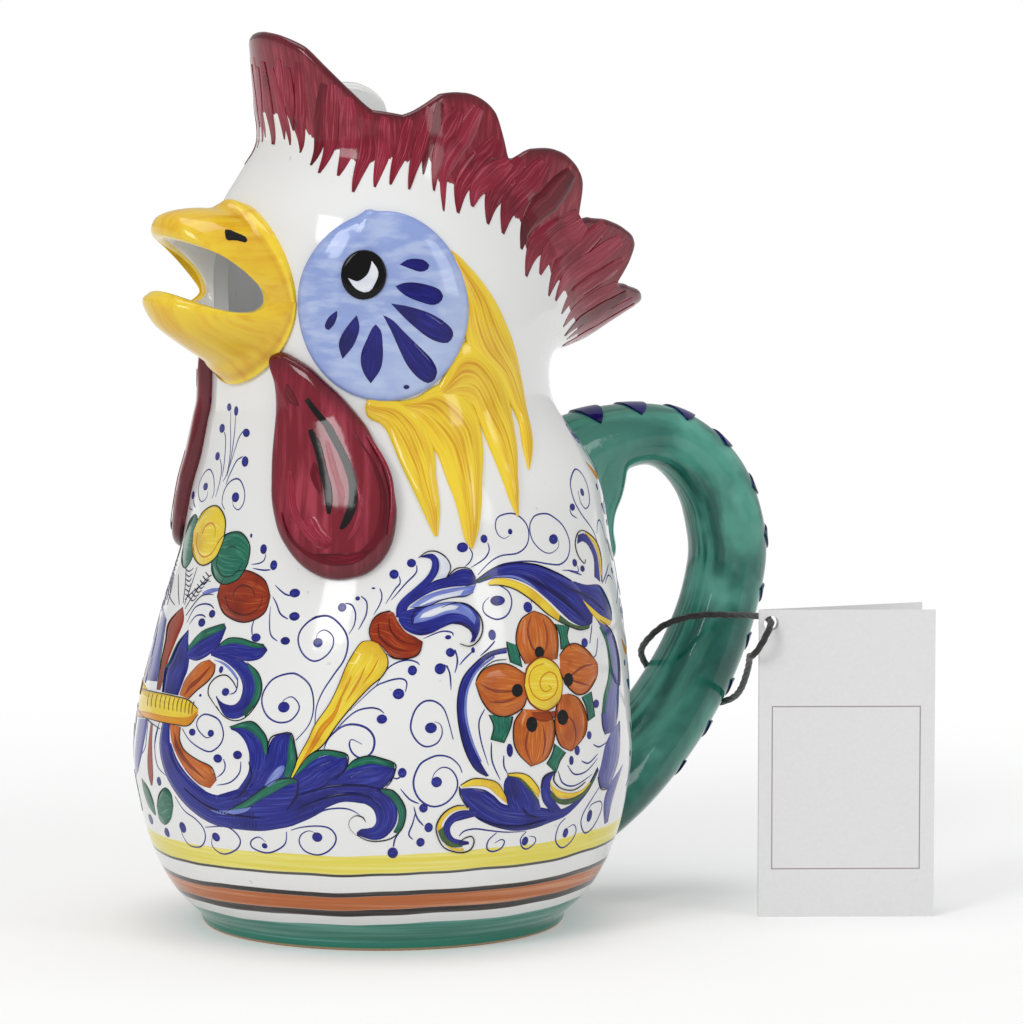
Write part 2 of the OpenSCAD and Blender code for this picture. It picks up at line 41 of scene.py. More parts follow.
# %% [markdown]
# ## Camera
# A long lens from nearly two metres keeps the pitcher's upright lines upright. It could be aimed by
# hand; aiming it at a named point with a track quaternion keeps the same view on each run.
# %% Camera
camera_place = Vector((-0.9212, -1.5965, 0.3354))
camera_aim = Vector((0.0319, -0.0184, 0.1173))
camera_lens_mm = 229.1
camera = bpy.data.objects.new("camera", bpy.data.cameras.new("camera"))
bpy.context.collection.objects.link(camera)
camera.location = camera_place
camera.rotation_euler = (camera_aim - camera_place).to_track_quat("-Z", "Y").to_euler()
camera.data.lens = camera_lens_mm
bpy.context.scene.camera = camera
bpy.context.scene.view_settings.view_transform = "Standard"
print("camera distance in mm:", round((camera_aim - camera_place).length / MM))

# %% [markdown]
# ## Smooth curves
# Every outline here is a short list of points with a smooth curve through them. Blender has its
# own curves, but a formula on arrays gives thousands of points in one go.
# %% Curve helpers
def cubic(a, b, c, d, f):
    """Smooth step from b to c: starts with half of c - a as its slope, ends with half of d - b."""
    bend, twist = (2 * a - 5 * b + 4 * c - d) / 2, (3 * b - a - 3 * c + d) / 2
    return b + f * ((c - a) / 2 + f * (bend + f * twist))


def spline(rows, t, closed=False):
    """Point at position t of the smooth curve through rows, t counted in rows."""
    rows, t = np.asarray(rows, float), np.asarray(t, float)
    last = len(rows) - 1
    i = np.floor(t).astype(int)
    if closed:
        near = [rows[(i + k) % len(rows)] for k in (-1, 0, 1, 2)]
    else:
        i = np.clip(i, 0, last - 1)
        near = [rows[np.clip(i + k, 0, last)] for k in (-1, 0, 1, 2)]
    f = t - i
    return cubic(*near, f.reshape(f.shape + (1,) * (rows.ndim - 1)))


def along(rows, steps, closed=False):
    """The curve through rows, sampled at even steps of its parameter."""
    return spline(rows, np.linspace(0, len(rows) - (0 if closed else 1), steps + 1), closed)


def unit(v):
    """Each vector divided by its own length."""
    return v / np.maximum(np.linalg.norm(v, axis=-1, keepdims=True), 1e-9)


def bezier(a, b, c, f):
    """Curve from a to c that is pulled towards b, as weights (1-f)^2, 2f(1-f) and f^2."""
    return (1 - f) ** 2 * a + 2 * f * (1 - f) * b + f ** 2 * c


def pairs(numbers):
    """A list of numbers as places, two numbers each."""
    return np.array(numbers, float).reshape(-1, 2)


def even(rows, steps):
    """The smooth curve through rows at even steps of its length."""
    fine = along(rows, 160)
    far_along = np.concatenate([[0], np.cumsum(np.linalg.norm(np.diff(fine, axis=0), axis=-1))])
    at = np.linspace(0, far_along[-1], steps + 1)
    return np.stack([np.interp(at, far_along, fine[:, k]) for k in range(2)], -1)

# %% [markdown]
# ## Meshes from grids
# A surface is a grid of points: rows by columns. Modelling by hand would place each face; here the
# faces follow from the grid's size. Normals are recalculated once, on the closed shell.
# %% Mesh helpers
def tube_faces(rows, cols, wrap=False):
    """Faces of a grid whose columns close on themselves; wrap also joins the last row to the first."""
    i = np.arange(rows if wrap else rows - 1)[:, None]
    j = np.arange(cols)[None, :]
    beside, above = (j + 1) % cols, (i + 1) % rows
    corners = [i * cols + j, i * cols + beside, above * cols + beside, above * cols + j]
    return np.stack(corners, -1).reshape(-1, 4)


def capped(rows, cols):
    """The same tube with a face over each end."""
    first = np.arange(cols)
    return tube_faces(rows, cols).tolist() + [first[::-1].tolist(), (first + (rows - 1) * cols).tolist()]


def make_piece(name, points, faces, finish, nodes=(), crease=40, maps=(), body="pitcher"):
    """One finished piece: points in millimetres, its faces, its glaze and its place in the frame."""
    mesh = bpy.data.meshes.new(name)
    mesh.from_pydata((np.asarray(points).reshape(-1, 3) * MM).tolist(), [], [list(f) for f in faces])
    grid = bmesh.new()
    grid.from_mesh(mesh)
    bmesh.ops.recalc_face_normals(grid, faces=grid.faces)
    grid.to_mesh(mesh)
    grid.free()
    mesh.shade_smooth()
    mesh.set_sharp_from_angle(angle=np.radians(crease))
    corner = np.zeros(len(mesh.loops), int)
    mesh.loops.foreach_get("vertex_index", corner)
    for key, values in dict(maps).items():
        values = np.asarray(values, float)
        if values.ndim > 1:
            mesh.uv_layers.new(name=key).data.foreach_set("uv", values.reshape(-1, 2)[corner].ravel())
        else:
            mesh.attributes.new(key, "FLOAT", "POINT").data.foreach_set("value", values)
    mesh.materials.append(finish)
    piece = bpy.data.objects.new(name, mesh)
    bpy.context.collection.objects.link(piece)
    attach(piece, body)
    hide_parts(*nodes)
    print(f"{name}: {len(mesh.polygons)} faces")
    return piece


# %% [markdown]
# ## Node helpers
# A procedural glaze is a small graph of nodes. These three helpers keep each graph short: one adds
# a node and fills its sockets, one does sums, and one lays a colour over another.
# %% Node helpers
def paint(red, green, blue):
    """A colour as seen on a screen, 0 to 255, turned into the light values that nodes use."""
    share = np.array([red, green, blue]) / 255
    light = np.where(share <= 0.04045, share / 12.92, ((share + 0.055) / 1.055) ** 2.4)
    return (*light.tolist(), 1.0)


def add(tree, kind, inputs=(), **settings):
    """A node of a kind with its settings; each input is given a number, a colour or another output."""
    made = tree.nodes.new(kind)
    for key, value in settings.items():
        setattr(made, key, value)
    for key, value in dict(inputs).items():
        if isinstance(value, bpy.types.NodeSocket):
            tree.links.new(value, made.inputs[key])
        else:
            made.inputs[key].default_value = value
    return made


def sums(tree, operation, a, b=0.0, clamp=False):
    """One sum of two values."""
    return add(tree, "ShaderNodeMath", {0: a, 1: b}, operation=operation, use_clamp=clamp).outputs[0]


def over(tree, amount, under, top):
    """Colour top laid over colour under by amount, from 0 to 1."""
    return add(tree, "ShaderNodeMix", {0: amount, 6: under, 7: top}, data_type="RGBA").outputs[2]


def step_up(tree, value, low, high, start=0.0, end=1.0):
    """Soft step: start below low, end above high."""
    return add(tree, "ShaderNodeMapRange", {0: value, 1: low, 2: high, 3: start, 4: end},
               interpolation_type="SMOOTHSTEP").outputs[0]


def cloud(tree, vector, scale, detail=2.0, stretch=(1, 1, 1)):
    """Even noise from 0 to 1 on a vector, stretched by a factor on each axis."""
    moved = add(tree, "ShaderNodeVectorMath", {0: vector, 1: stretch}, operation="MULTIPLY").outputs[0]
    return add(tree, "ShaderNodeTexNoise", {"Vector": moved, "Scale": scale, "Detail": detail}).outputs[0]


def new_finish(name):
    """An empty material, its node tree and its object coordinates."""
    finish = bpy.data.materials.new(name)
    finish.use_nodes = True
    finish.node_tree.nodes.clear()
    place = add(finish.node_tree, "ShaderNodeTexCoord").outputs["Object"]
    return finish, finish.node_tree, place


def fire(tree, colour, place, rough=0.1, ripple=0.12, ior=1.5):
    """Glossy fired surface over a colour. Two sizes of noise ripple it, as melted glaze does."""
    wave = sums(tree, "ADD", cloud(tree, place, 55.0),
                sums(tree, "MULTIPLY", cloud(tree, place, 420.0), 0.12))
    bump = add(tree, "ShaderNodeBump", {"Strength": ripple, "Distance": 0.0012, "Height": wave}).outputs[0]
    shader = add(tree, "ShaderNodeBsdfPrincipled",
                 {"Base Color": colour, "Roughness": rough, "IOR": ior, "Normal": bump})
    add(tree, "ShaderNodeOutputMaterial", {0: shader.outputs[0]})


# %% [markdown]
# ## The cord
# A thin black cord ties the tag to the handle. It is limp, so it lies on the handle and sags on the
# way back. It could be a curve with a bevel; a tube of three twisted strands shows its make.
# %% Cord
cord_route = np.array([
    [96.5, -54.5, 85.5], [95.5, -56.5, 85.5], [93.5, -58.5, 84], [91, -59, 80.5], [90, -56.5, 77],
    [91, -52.5, 75.5], [93.5, -48.5, 75], [97, -43, 73.5], [102, -34.5, 69], [108, -22, 61.5],
    [113, -9.5, 56.5], [114, 1.5, 53.5], [112.5, 10, 53], [108, 14, 55.5], [102, 14.5, 60],
    [96, 11.5, 65.5], [90.5, 5, 70.5], [88, -3.5, 75.5], [89, -10.5, 80], [94, -15.5, 82.5],
    [98.5, -21, 83.5], [100.5, -28, 84], [100.5, -36, 85], [99.5, -42.5, 85.5], [98.5, -48, 86],
    [97.5, -52, 86], [96.5, -54.5, 85.5]])
cord_d = 2.0
cord_strands = 3
cord_twist = 5.0
strand_depth_share = 0.2
cord_steps, cord_sides = 520, 24

cord_line = along(cord_route, cord_steps)
cord_ahead = unit(np.gradient(cord_line, axis=0))
cord_side = unit(np.cross(cord_ahead, [0, 0, 1]))
cord_up = np.cross(cord_side, cord_ahead)
cord_run = np.concatenate([[0], np.cumsum(np.linalg.norm(np.diff(cord_line, axis=0), axis=1))])
cord_turn = np.arange(cord_sides) * 2 * np.pi / cord_sides
cord_wind = 2 * np.pi * cord_run[:, None] / cord_twist / cord_strands
cord_phase = cord_strands / 2 * (cord_turn[None, :] + cord_wind)
cord_reach = cord_d / 2 * (1 - strand_depth_share + strand_depth_share * np.abs(np.cos(cord_phase)))
cord_points = (cord_line[:, None] + cord_side[:, None] * (np.cos(cord_turn) * cord_reach)[..., None]
               + cord_up[:, None] * (np.sin(cord_turn) * cord_reach)[..., None])

cord_finish, tree, place = new_finish("cord_black")
fibre = cloud(tree, place, 900.0, 3.0, (1, 1, 2.5))
cord_bump = add(tree, "ShaderNodeBump", {"Strength": 0.6, "Distance": 0.0002, "Height": fibre}).outputs[0]
cord_colour = over(tree, step_up(tree, fibre, 0.45, 0.75), paint(16, 15, 15), paint(58, 55, 52))
cord_shader = add(tree, "ShaderNodeBsdfPrincipled",
                  {"Base Color": cord_colour, "Roughness": 0.62, "Sheen Weight": 0.3, "Normal": cord_bump})
add(tree, "ShaderNodeOutputMaterial", {0: cord_shader.outputs[0]})

cord = make_piece("cord_twisted", cord_points, capped(cord_steps + 1, cord_sides), cord_finish,
                  ["tag_cord"], crease=80)
print("cord length in mm:", round(cord_run[-1], 1))

# %% [markdown]
# ## Floor and light
# The pitcher stands in a white studio. A white room could be built round it; a pale floor that
# glows a little for the camera alone keeps the soft shadow and stays white to the edge.
# %% Floor
floor_half = 6.0
plain_until, white_from = 0.16, 0.45
floor_mesh = bpy.data.meshes.new("floor")
floor_mesh.from_pydata([(-floor_half, -floor_half, 0), (floor_half, -floor_half, 0),
                        (floor_half, floor_half, 0), (-floor_half, floor_half, 0)], [], [(0, 1, 2, 3)])
floor = bpy.data.objects.new("floor", floor_mesh)
bpy.context.collection.objects.link(floor)

floor_finish, tree, place = new_finish("floor_paper")
ray = add(tree, "ShaderNodeLightPath").outputs
seen = sums(tree, "MAXIMUM", ray["Is Camera Ray"],
            sums(tree, "MAXIMUM", ray["Is Glossy Ray"], ray["Is Transmission Ray"]))
away = add(tree, "ShaderNodeVectorMath", {0: place}, operation="LENGTH").outputs["Value"]
matt = add(tree, "ShaderNodeBsdfDiffuse", {"Color": paint(238, 238, 238)}).outputs[0]
glow = add(tree, "ShaderNodeEmission", {"Color": (1, 1, 1, 1), "Strength": 0.2}).outputs[0]
lit = add(tree, "ShaderNodeAddShader", {0: matt, 1: glow}).outputs[0]
white = add(tree, "ShaderNodeEmission", {"Color": (1, 1, 1, 1), "Strength": 1.0}).outputs[0]
near = add(tree, "ShaderNodeMixShader", {0: seen, 1: matt, 2: lit}).outputs[0]
far = add(tree, "ShaderNodeMixShader", {0: seen, 1: matt, 2: white}).outputs[0]
fade_out = step_up(tree, away, plain_until, white_from)
ground = add(tree, "ShaderNodeMixShader", {0: fade_out, 1: near, 2: far}).outputs[0]
add(tree, "ShaderNodeOutputMaterial", {0: ground})
floor_mesh.materials.append(floor_finish)

# %% [markdown]
# Three soft boxes light it, as a photographer sets them: a key on the left, a weaker fill on the
# right and one from above. The world adds an even grey light, and is white only to the camera.
# %% Light
lamp_aim = Vector((0, 0, 0.12))
world = bpy.data.worlds.new("studio")
bpy.context.scene.world = world
world.use_nodes = True
tree = world.node_tree
tree.nodes.clear()
ray = add(tree, "ShaderNodeLightPath").outputs
seen = sums(tree, "MAXIMUM", ray["Is Camera Ray"], ray["Is Transmission Ray"])
fill = add(tree, "ShaderNodeBackground", {"Color": (1, 1, 1, 1), "Strength": 0.55}).outputs[0]
backdrop = add(tree, "ShaderNodeBackground", {"Color": (1, 1, 1, 1), "Strength": 1.0}).outputs[0]
both = add(tree, "ShaderNodeMixShader", {0: seen, 1: fill, 2: backdrop}).outputs[0]
add(tree, "ShaderNodeOutputWorld", {0: both})


def soft_box(name, where, width, height, power):
    """A square studio lamp at a place, turned to the pitcher's middle."""
    lamp = bpy.data.lights.new(name, "AREA")
    lamp.shape = "RECTANGLE"
    lamp.size, lamp.size_y, lamp.energy = width, height, power
    held = bpy.data.objects.new(name, lamp)
    bpy.context.collection.objects.link(held)
    held.location = where
    held.rotation_euler = (lamp_aim - held.location).to_track_quat("-Z", "Y").to_euler()


soft_box("key_left", (-1.5, -0.75, 1.05), 0.55, 0.8, 9.5)
soft_box("fill_right", (0.75, -1.6, 0.8), 0.5, 0.8, 4.0)
soft_box("top", (0.1, 0.1, 1.7), 0.9, 0.9, 5.8)

# %% [markdown]
# ## The pitcher's skin
# A potter slip-casts the whole vessel in one mould. Its outside is one surface: an angle round the
# axis and a ring number give a point on it. Rings are lists of reach and height, so the belly stays
# round, the head leans back and the top edge runs down to the rear.
# %% Rings
overall_h, wall, lean = 254.0, 4.5, 5.4
belly_r, belly_z, foot_r, foot_h = 71.2, 48.0, 52.0, 2.5
neck_z, neck_r, floor_t = 150.0, 48.5, 6.0
rim_front, rim_rear, rim_side, rim_rear_z = 36.2, 74.0, 35.0, 168.0
lobe_heights = np.array([21.5, 14.0, 15.0, 15.5, 12.5])
rim_z = overall_h - lobe_heights[0]

# Below the widest ring: share of the way up to it, and of the way out to it.
low_shares = np.array([[0, 0], [0.035, 0.06], [0.13, 0.3], [0.25, 0.51], [0.42, 0.71], [0.66, 0.88]])
# Above it, up to the neck: share of the way up, of the way out from the neck, and of the lean.
high_shares = np.array([
    [0, 1, 0], [0.137, 0.961, 0.12], [0.265, 0.878, 0.39], [0.443, 0.725, 0.72], [0.586, 0.563, 0.98],
    [0.752, 0.437, 1], [0.843, 0.293, 0.8], [0.941, 0.096, 0.24], [1, 0, 0]])
# The head: shares of the way up at the front and the rear, shares of the rim's reach to the front,
# the rear and the side, and the power of the slope between them.
head_shares = np.array([
    [0.155, 0.28, 0.02, -0.04, 0.04, 1.2], [0.32, 0.47, 0, -0.03, 0.04, 1.4],
    [0.488, 0.58, -0.01, 0.05, 0.07, 1.6], [0.655, 0.64, 0.2, 0.23, 0.25, 1.8],
    [0.774, 0.7, 0.66, 0.47, 0.62, 2], [0.881, 0.81, 1.1, 0.72, 0.9, 2.1], [1, 1, 1, 1, 1, 2.2]])

low_z = foot_h + (belly_z - foot_h) * low_shares[:, 0]
low_r = foot_r + (belly_r - foot_r) * low_shares[:, 1]
high_z = belly_z + (neck_z - belly_z) * high_shares[:, 0]
high_r = neck_r + (belly_r - neck_r) * high_shares[:, 1]
high_lean = lean * high_shares[:, 2]
rim_reach = np.array([rim_front, rim_rear, rim_side])
rings = np.vstack([
    np.stack([low_z, low_z, low_r, low_r, low_r, np.ones_like(low_z)], -1),
    np.stack([high_z, high_z, high_r - high_lean, high_r + high_lean, high_r, np.ones_like(high_z)], -1),
    np.column_stack([neck_z + (rim_z - neck_z) * head_shares[:, 0],
                     neck_z + (rim_rear_z - neck_z) * head_shares[:, 1],
                     neck_r + (rim_reach - neck_r) * head_shares[:, 2:5], head_shares[:, 5]])])
neck_ring = len(low_shares) + len(high_shares) - 1
comb_ring, top_ring = neck_ring + 5, len(rings) - 1
probe_a, probe_t = 0.5, 0.02
print("rings:", len(rings), "neck at ring", neck_ring)


# %% Skin
def ring_point(a, t):
    """Point at angle a from the front on ring t: an ellipse in plan with its own front and rear
    reach, whose height goes from the front value to the rear one as a power of the way back."""
    a, t = np.broadcast_arrays(np.asarray(a, float), np.asarray(t, float))
    g = spline(rings, t)
    turn = np.radians(a)
    x = -np.cos(turn) * np.where(np.cos(turn) > 0, g[..., 2], g[..., 3])
    back = np.maximum((x + g[..., 2]) / (g[..., 2] + g[..., 3]), 0)
    z = g[..., 0] + (g[..., 1] - g[..., 0]) * back ** g[..., 5]
    return np.stack([x, -g[..., 4] * np.sin(turn), z], -1)


def skin(a, t, e=0.0):
    """ring_point, carried straight on past the top ring by e millimetres."""
    a, t, e = np.broadcast_arrays(np.asarray(a, float), t, e)
    up = unit(ring_point(a, top_ring) - ring_point(a, top_ring - probe_t))
    return ring_point(a, t) + e[..., None] * up


def skin_normal(a, t, e=0.0):
    """Outward direction: cross product of a small step round and a small step up."""
    round_it = skin(a + probe_a, t, e) - skin(a - probe_a, t, e)
    above, below = np.minimum(t + probe_t, top_ring), np.minimum(t, top_ring) - probe_t
    up_it = skin(a, above, e) - skin(a, below, e)
    return unit(np.cross(round_it, up_it))


def ring_at(a, z):
    """Ring that passes height z at angle a, found by halving the range of rings 22 times."""
    a, z = np.broadcast_arrays(np.asarray(a, float), np.asarray(z, float))
    low, high = np.zeros(a.shape), np.full(a.shape, float(top_ring))
    for _ in range(22):
        middle = (low + high) / 2
        below = ring_point(a, middle)[..., 2] < z
        low, high = np.where(below, middle, low), np.where(below, high, middle)
    return (low + high) / 2


def over_skin(a, z, h):
    """Point that stands h off the skin at angle a and height z."""
    t = ring_at(a, z)
    return skin(a, t) + np.asarray(h)[..., None] * skin_normal(a, t)


def lobe(a):
    """Height of the comb's edge above the top ring: a smooth curve through the lobes' outline."""
    a = np.abs((np.asarray(a, float) + 180) % 360 - 180)
    k = np.clip(np.searchsorted(lobe_edge[:, 0], a) - 1, 0, len(lobe_edge) - 2)
    near = [lobe_edge[np.clip(k + i, 0, len(lobe_edge) - 1), 1] for i in (-1, 0, 1, 2)]
    share = (a - lobe_edge[k, 0]) / (lobe_edge[k + 1, 0] - lobe_edge[k, 0])
    return np.maximum(cubic(*near, share), 0)


# Angle from the front, which lobe it is, and the share of that lobe's height.
lobe_shares = np.array([
    [0, 0, 1], [14, 0, 0.96], [28, 0, 0.83], [38, 0, 0.57], [48, 0, 0.3], [57, 0, 0.08],
    [62, 1, 0.03], [67, 1, 0.06], [73.5, 1, 0.17], [81, 1, 0.4], [89, 1, 0.7], [95.5, 1, 0.95],
    [99.5, 1, 1], [103, 1, 0.88], [105.3, 1, 0.5], [107.5, 1, 0.16], [113, 2, 0.6], [119.5, 2, 0.95],
    [124.5, 2, 1], [127.5, 2, 0.84], [130, 2, 0.28], [133, 3, 0.44], [138, 3, 0.74], [144, 3, 0.97],
    [148, 3, 1], [150.5, 3, 0.72], [152.8, 3, 0.3], [158, 4, 0.58], [166, 4, 0.9], [174, 4, 1],
    [180, 4, 0.97]])
lobe_of = lobe_shares[:, 1].astype(int)
lobe_edge = np.stack([lobe_shares[:, 0], lobe_heights[lobe_of] * lobe_shares[:, 2]], -1)

# %% [markdown]
# ## White glaze and the painted bands
# The body is dipped in a white tin glaze, and turned on a wheel while a loaded brush draws the
# bands. A picture of the bands could be wrapped round it; here height above the table picks the
# colour, with a little noise for the painter's hand.
# %% White glaze
GLAZE_WHITE = paint(243, 243, 241)


def white_ground(tree, place):
    """The white of the glaze, a touch greyer in soft clouds and with a few tiny specks."""
    shade = over(tree, cloud(tree, place, 14.0), GLAZE_WHITE, paint(237, 238, 238))
    speck = step_up(tree, cloud(tree, place, 330.0, 1.0), 0.77, 0.8)
    return over(tree, sums(tree, "MULTIPLY", speck, 0.35), shade, paint(188, 184, 178))


head_finish, tree, place = new_finish("glaze_white")
fire(tree, white_ground(tree, place), place)

# %% Bands round the belly
# Low and high edge of each band above the table, and its colour.
band_edge = 0.12
bands = [(0.6, 8.7, (38, 128, 108)), (11.6, 13.6, (34, 26, 22)), (13.6, 17.8, (190, 102, 46)),
         (17.8, 19.2, (34, 26, 22)), (24.0, 24.8, (36, 34, 22)), (24.8, 30.2, (234, 220, 84))]
band_lean = (-0.0158, 0.0091, 1.0)
thin_share, thin_more = 0.72, 78

belly_finish, tree, place = new_finish("glaze_white_banded")
level = add(tree, "ShaderNodeVectorMath", {0: place, 1: band_lean}, operation="DOT_PRODUCT").outputs["Value"]
wobble = sums(tree, "MULTIPLY", sums(tree, "SUBTRACT", cloud(tree, place, 38.0, 1.0), 0.5), 0.0022)
level = sums(tree, "ADD", level, wobble)
brush_marks = cloud(tree, place, 16.0, 4.0, (1, 1, 46))
colour = white_ground(tree, place)
for low, high, tint in bands:
    rise = step_up(tree, level, (low - band_edge) * MM, (low + band_edge) * MM)
    fall = step_up(tree, level, (high - band_edge) * MM, (high + band_edge) * MM, 1.0, 0.0)
    thin = tuple(min(255, c * thin_share + thin_more) for c in tint)
    wash = over(tree, step_up(tree, brush_marks, 0.42, 0.72), paint(*tint), paint(*thin))
    colour = over(tree, sums(tree, "MULTIPLY", rise, fall), colour, wash)
fire(tree, colour, place)

# %% [markdown]
# ## Foot and belly
# The foot stands on bare clay, since glaze would stick it to the kiln shelf. It is a plain turned
# ring. The belly could be turned as well; the skin's formula is used, so that the paint can find the
# same surface later.
# %% Foot
bare_until, glazed_from = 0.6 * MM, 1.0 * MM
clay_finish, tree, place = new_finish("bare_clay")
grain = cloud(tree, place, 700.0, 4.0)
clay = over(tree, grain, paint(222, 190, 150), paint(196, 158, 118))
low_on_foot = add(tree, "ShaderNodeSeparateXYZ", {0: place}).outputs["Z"]
clay = over(tree, step_up(tree, low_on_foot, bare_until, glazed_from), clay, paint(38, 128, 108))
clay_bump = add(tree, "ShaderNodeBump", {"Strength": 0.5, "Distance": 0.0003, "Height": grain}).outputs[0]
clay_rough = step_up(tree, low_on_foot, bare_until, glazed_from, 0.85, 0.12)
clay_shader = add(tree, "ShaderNodeBsdfPrincipled",
                  {"Base Color": clay, "Roughness": clay_rough, "Normal": clay_bump})
add(tree, "ShaderNodeOutputMaterial", {0: clay_shader.outputs[0]})

# Reach and height, from the middle of the underside out and back over the top.
foot_profile = np.array([[0.4, 0.7], [43, 0.7], [44.5, 0.5], [45.2, 0.1], [46, 0], [50.2, 0],
                         [51.2, 0.35], [51.8, 1.1], [52, 2], [52, 2.5], [30, 2.5], [0.4, 2.5]])
foot_turn = np.radians(np.arange(0, 360, 2.0))
foot_points = np.stack([foot_profile[:, :1] * np.cos(foot_turn), foot_profile[:, :1] * np.sin(foot_turn),
                        np.repeat(foot_profile[:, 1:], len(foot_turn), 1)], -1)
make_piece("foot_turned", foot_points, capped(len(foot_profile), len(foot_turn)), clay_finish,
           ["foot"])

# %% Belly
belly_rows, belly_cols = 120, 320
belly_turn = np.arange(belly_cols) * 360 / belly_cols
belly_out = ring_point(belly_turn[None, :], np.linspace(0, neck_ring, belly_rows)[:, None])
floor_ring = ring_at(0.0, foot_h + floor_t)
belly_in = ring_point(belly_turn[None, :], np.linspace(neck_ring, floor_ring, belly_rows // 2)[:, None])
belly_reach = np.linalg.norm(belly_in[..., :2], axis=-1, keepdims=True)
belly_in[..., :2] *= 1 - wall / belly_reach
belly_points = np.concatenate([belly_out, belly_in])
make_piece("belly_glazed", belly_points, capped(len(belly_points), belly_cols), belly_finish,
           ["belly"])

# %% [markdown]
# ## Head
# The head is the same skin above the neck, with a hole behind the beak. The hole is cut by a
# boolean, as a potter cuts it with a knife while the clay is leather hard.
# %% Head
mouth_z, mouth_half_w = 181.0, 15.0
collar_half_w, collar_top_z, collar_low_z = 23.6, 207.0, 157.5
throat_up, throat_down = (collar_top_z - mouth_z) * 0.77, (mouth_z - collar_low_z) * 0.75
throat_front_x, throat_rear_x = -80.0, 36 - neck_r - 2 * wall
head_rows, head_cols = 36, 360
head_turn = np.arange(head_cols) * 360 / head_cols
head_ts = np.linspace(neck_ring, comb_ring, head_rows)[:, None]
head_out = skin(head_turn[None, :], head_ts)
head_in = head_out - wall * skin_normal(head_turn[None, :], head_ts)
head_in[0] = head_out[0] * [1 - wall / neck_r, 1 - wall / neck_r, 1]
head_points = np.concatenate([head_out, head_in[::-1]])
head = make_piece("head_glazed", head_points, tube_faces(2 * head_rows, head_cols, wrap=True), head_finish,
                  ["head"])

throat_turn = np.radians(np.arange(0, 360, 5.0))
throat_half = np.where(np.sin(throat_turn) > 0, throat_up, throat_down)
throat_loop = np.stack([np.zeros_like(throat_turn), mouth_half_w * np.cos(throat_turn),
                        mouth_z + throat_half * np.sin(throat_turn)], -1)
throat_mesh = bpy.data.meshes.new("throat")
throat_points = np.concatenate([throat_loop + [x, 0, 0] for x in (throat_front_x, throat_rear_x)])
throat_mesh.from_pydata((throat_points * MM).tolist(), [], capped(2, len(throat_turn)))
grid = bmesh.new()
grid.from_mesh(throat_mesh)
bmesh.ops.recalc_face_normals(grid, faces=grid.faces)
grid.to_mesh(throat_mesh)
grid.free()
throat = bpy.data.objects.new("throat", throat_mesh)
bpy.context.collection.objects.link(throat)
knife = head.modifiers.new("throat", "BOOLEAN")
knife.operation, knife.solver, knife.object = "DIFFERENCE", "EXACT", throat
cut_mesh = bpy.data.meshes.new_from_object(head.evaluated_get(bpy.context.evaluated_depsgraph_get()))
head.modifiers.clear()
head.data = cut_mesh
bpy.data.objects.remove(throat)
head_crease = 40
cut_mesh.set_sharp_from_angle(angle=np.radians(head_crease))
print("head after the cut:", len(cut_mesh.polygons), "faces")

# %% [markdown]
# ## Comb
# The top of the vessel is trimmed into eight lobes. Its outside is painted in long crimson strokes
# that end in points on the white, and its inside stays white but for the edge. Two numbers kept on
# each point say where the paint starts, and the glaze reads them.
# %% Crimson glaze
def crimson_wash(tree, streak, pool):
    """Crimson pigment: pale where the streak is high, as where the brush ran dry and, on the wattle, at its
    painted highlight; near black where it pooled.
    """
    wash = over(tree, step_up(tree, streak, 0.45, 0.78), paint(122, 12, 34), paint(168, 56, 76))
    return over(tree, pool, wash, paint(78, 4, 20))


comb_finish, tree, place = new_finish("glaze_crimson")
along_it = add(tree, "ShaderNodeUVMap", uv_map="stroke").outputs[0]
red = add(tree, "ShaderNodeAttribute", attribute_name="red").outputs["Fac"]
edge = add(tree, "ShaderNodeAttribute", attribute_name="edge").outputs["Fac"]
streak = cloud(tree, along_it, 1.0, 3.0, (150, 9, 1))
pool = sums(tree, "MULTIPLY", edge, sums(tree, "ADD", 0.35, cloud(tree, place, 90.0)), clamp=True)
ragged = sums(tree, "ADD", red, sums(tree, "MULTIPLY", sums(tree, "SUBTRACT", streak, 0.5), 0.9))
fire(tree, over(tree, step_up(tree, ragged, 0.45, 0.55), white_ground(tree, place),
                crimson_wash(tree, streak, pool)), place)

# %% Comb
rim_t = 3.2
comb_cols, comb_rows, edge_rows = 720, 14, 18
comb_turn = np.arange(comb_cols) * 360 / comb_cols
comb_ts = np.linspace(comb_ring, top_ring, comb_rows)[:, None]
rise = np.maximum(lobe(comb_turn) - rim_t / 2, 0)[None, :] + rim_t / 4
share = np.linspace(0, 1, edge_rows + 1)[1:, None]
round_turn = np.radians(np.linspace(0, 180, 7))[1:-1, None]

comb_normal = skin_normal(comb_turn[None, :], top_ring)
lift = rise * share
side_out = skin(comb_turn[None, :], top_ring, lift)
side_in = side_out - (wall + (rim_t - wall) * share)[..., None] * comb_normal
middle = (side_out[-1:] + side_in[-1:]) / 2
half_edge = (side_out[-1:] - side_in[-1:]) / 2
tip_up = unit(side_out[-1:] - side_out[-2:-1]) * (rim_t / 2)
rounded = middle + np.cos(round_turn)[..., None] * half_edge + np.sin(round_turn)[..., None] * tip_up
low_out = skin(comb_turn[None, :], comb_ts)
low_in = low_out - wall * skin_normal(comb_turn[None, :], comb_ts)
comb_points = np.concatenate([low_out, side_out, rounded, side_in[::-1], low_in[::-1]])


# Millimetres round the comb count from the front at the radius comb_r, and up from the top ring;
# below it a ring takes ring_mm. The ground colour stops a hem above the tips of the strokes.
comb_r, ring_mm, hem = 45.0, 11.8, 9.0
hem_soft, dark_edge = 4.0, 3.5
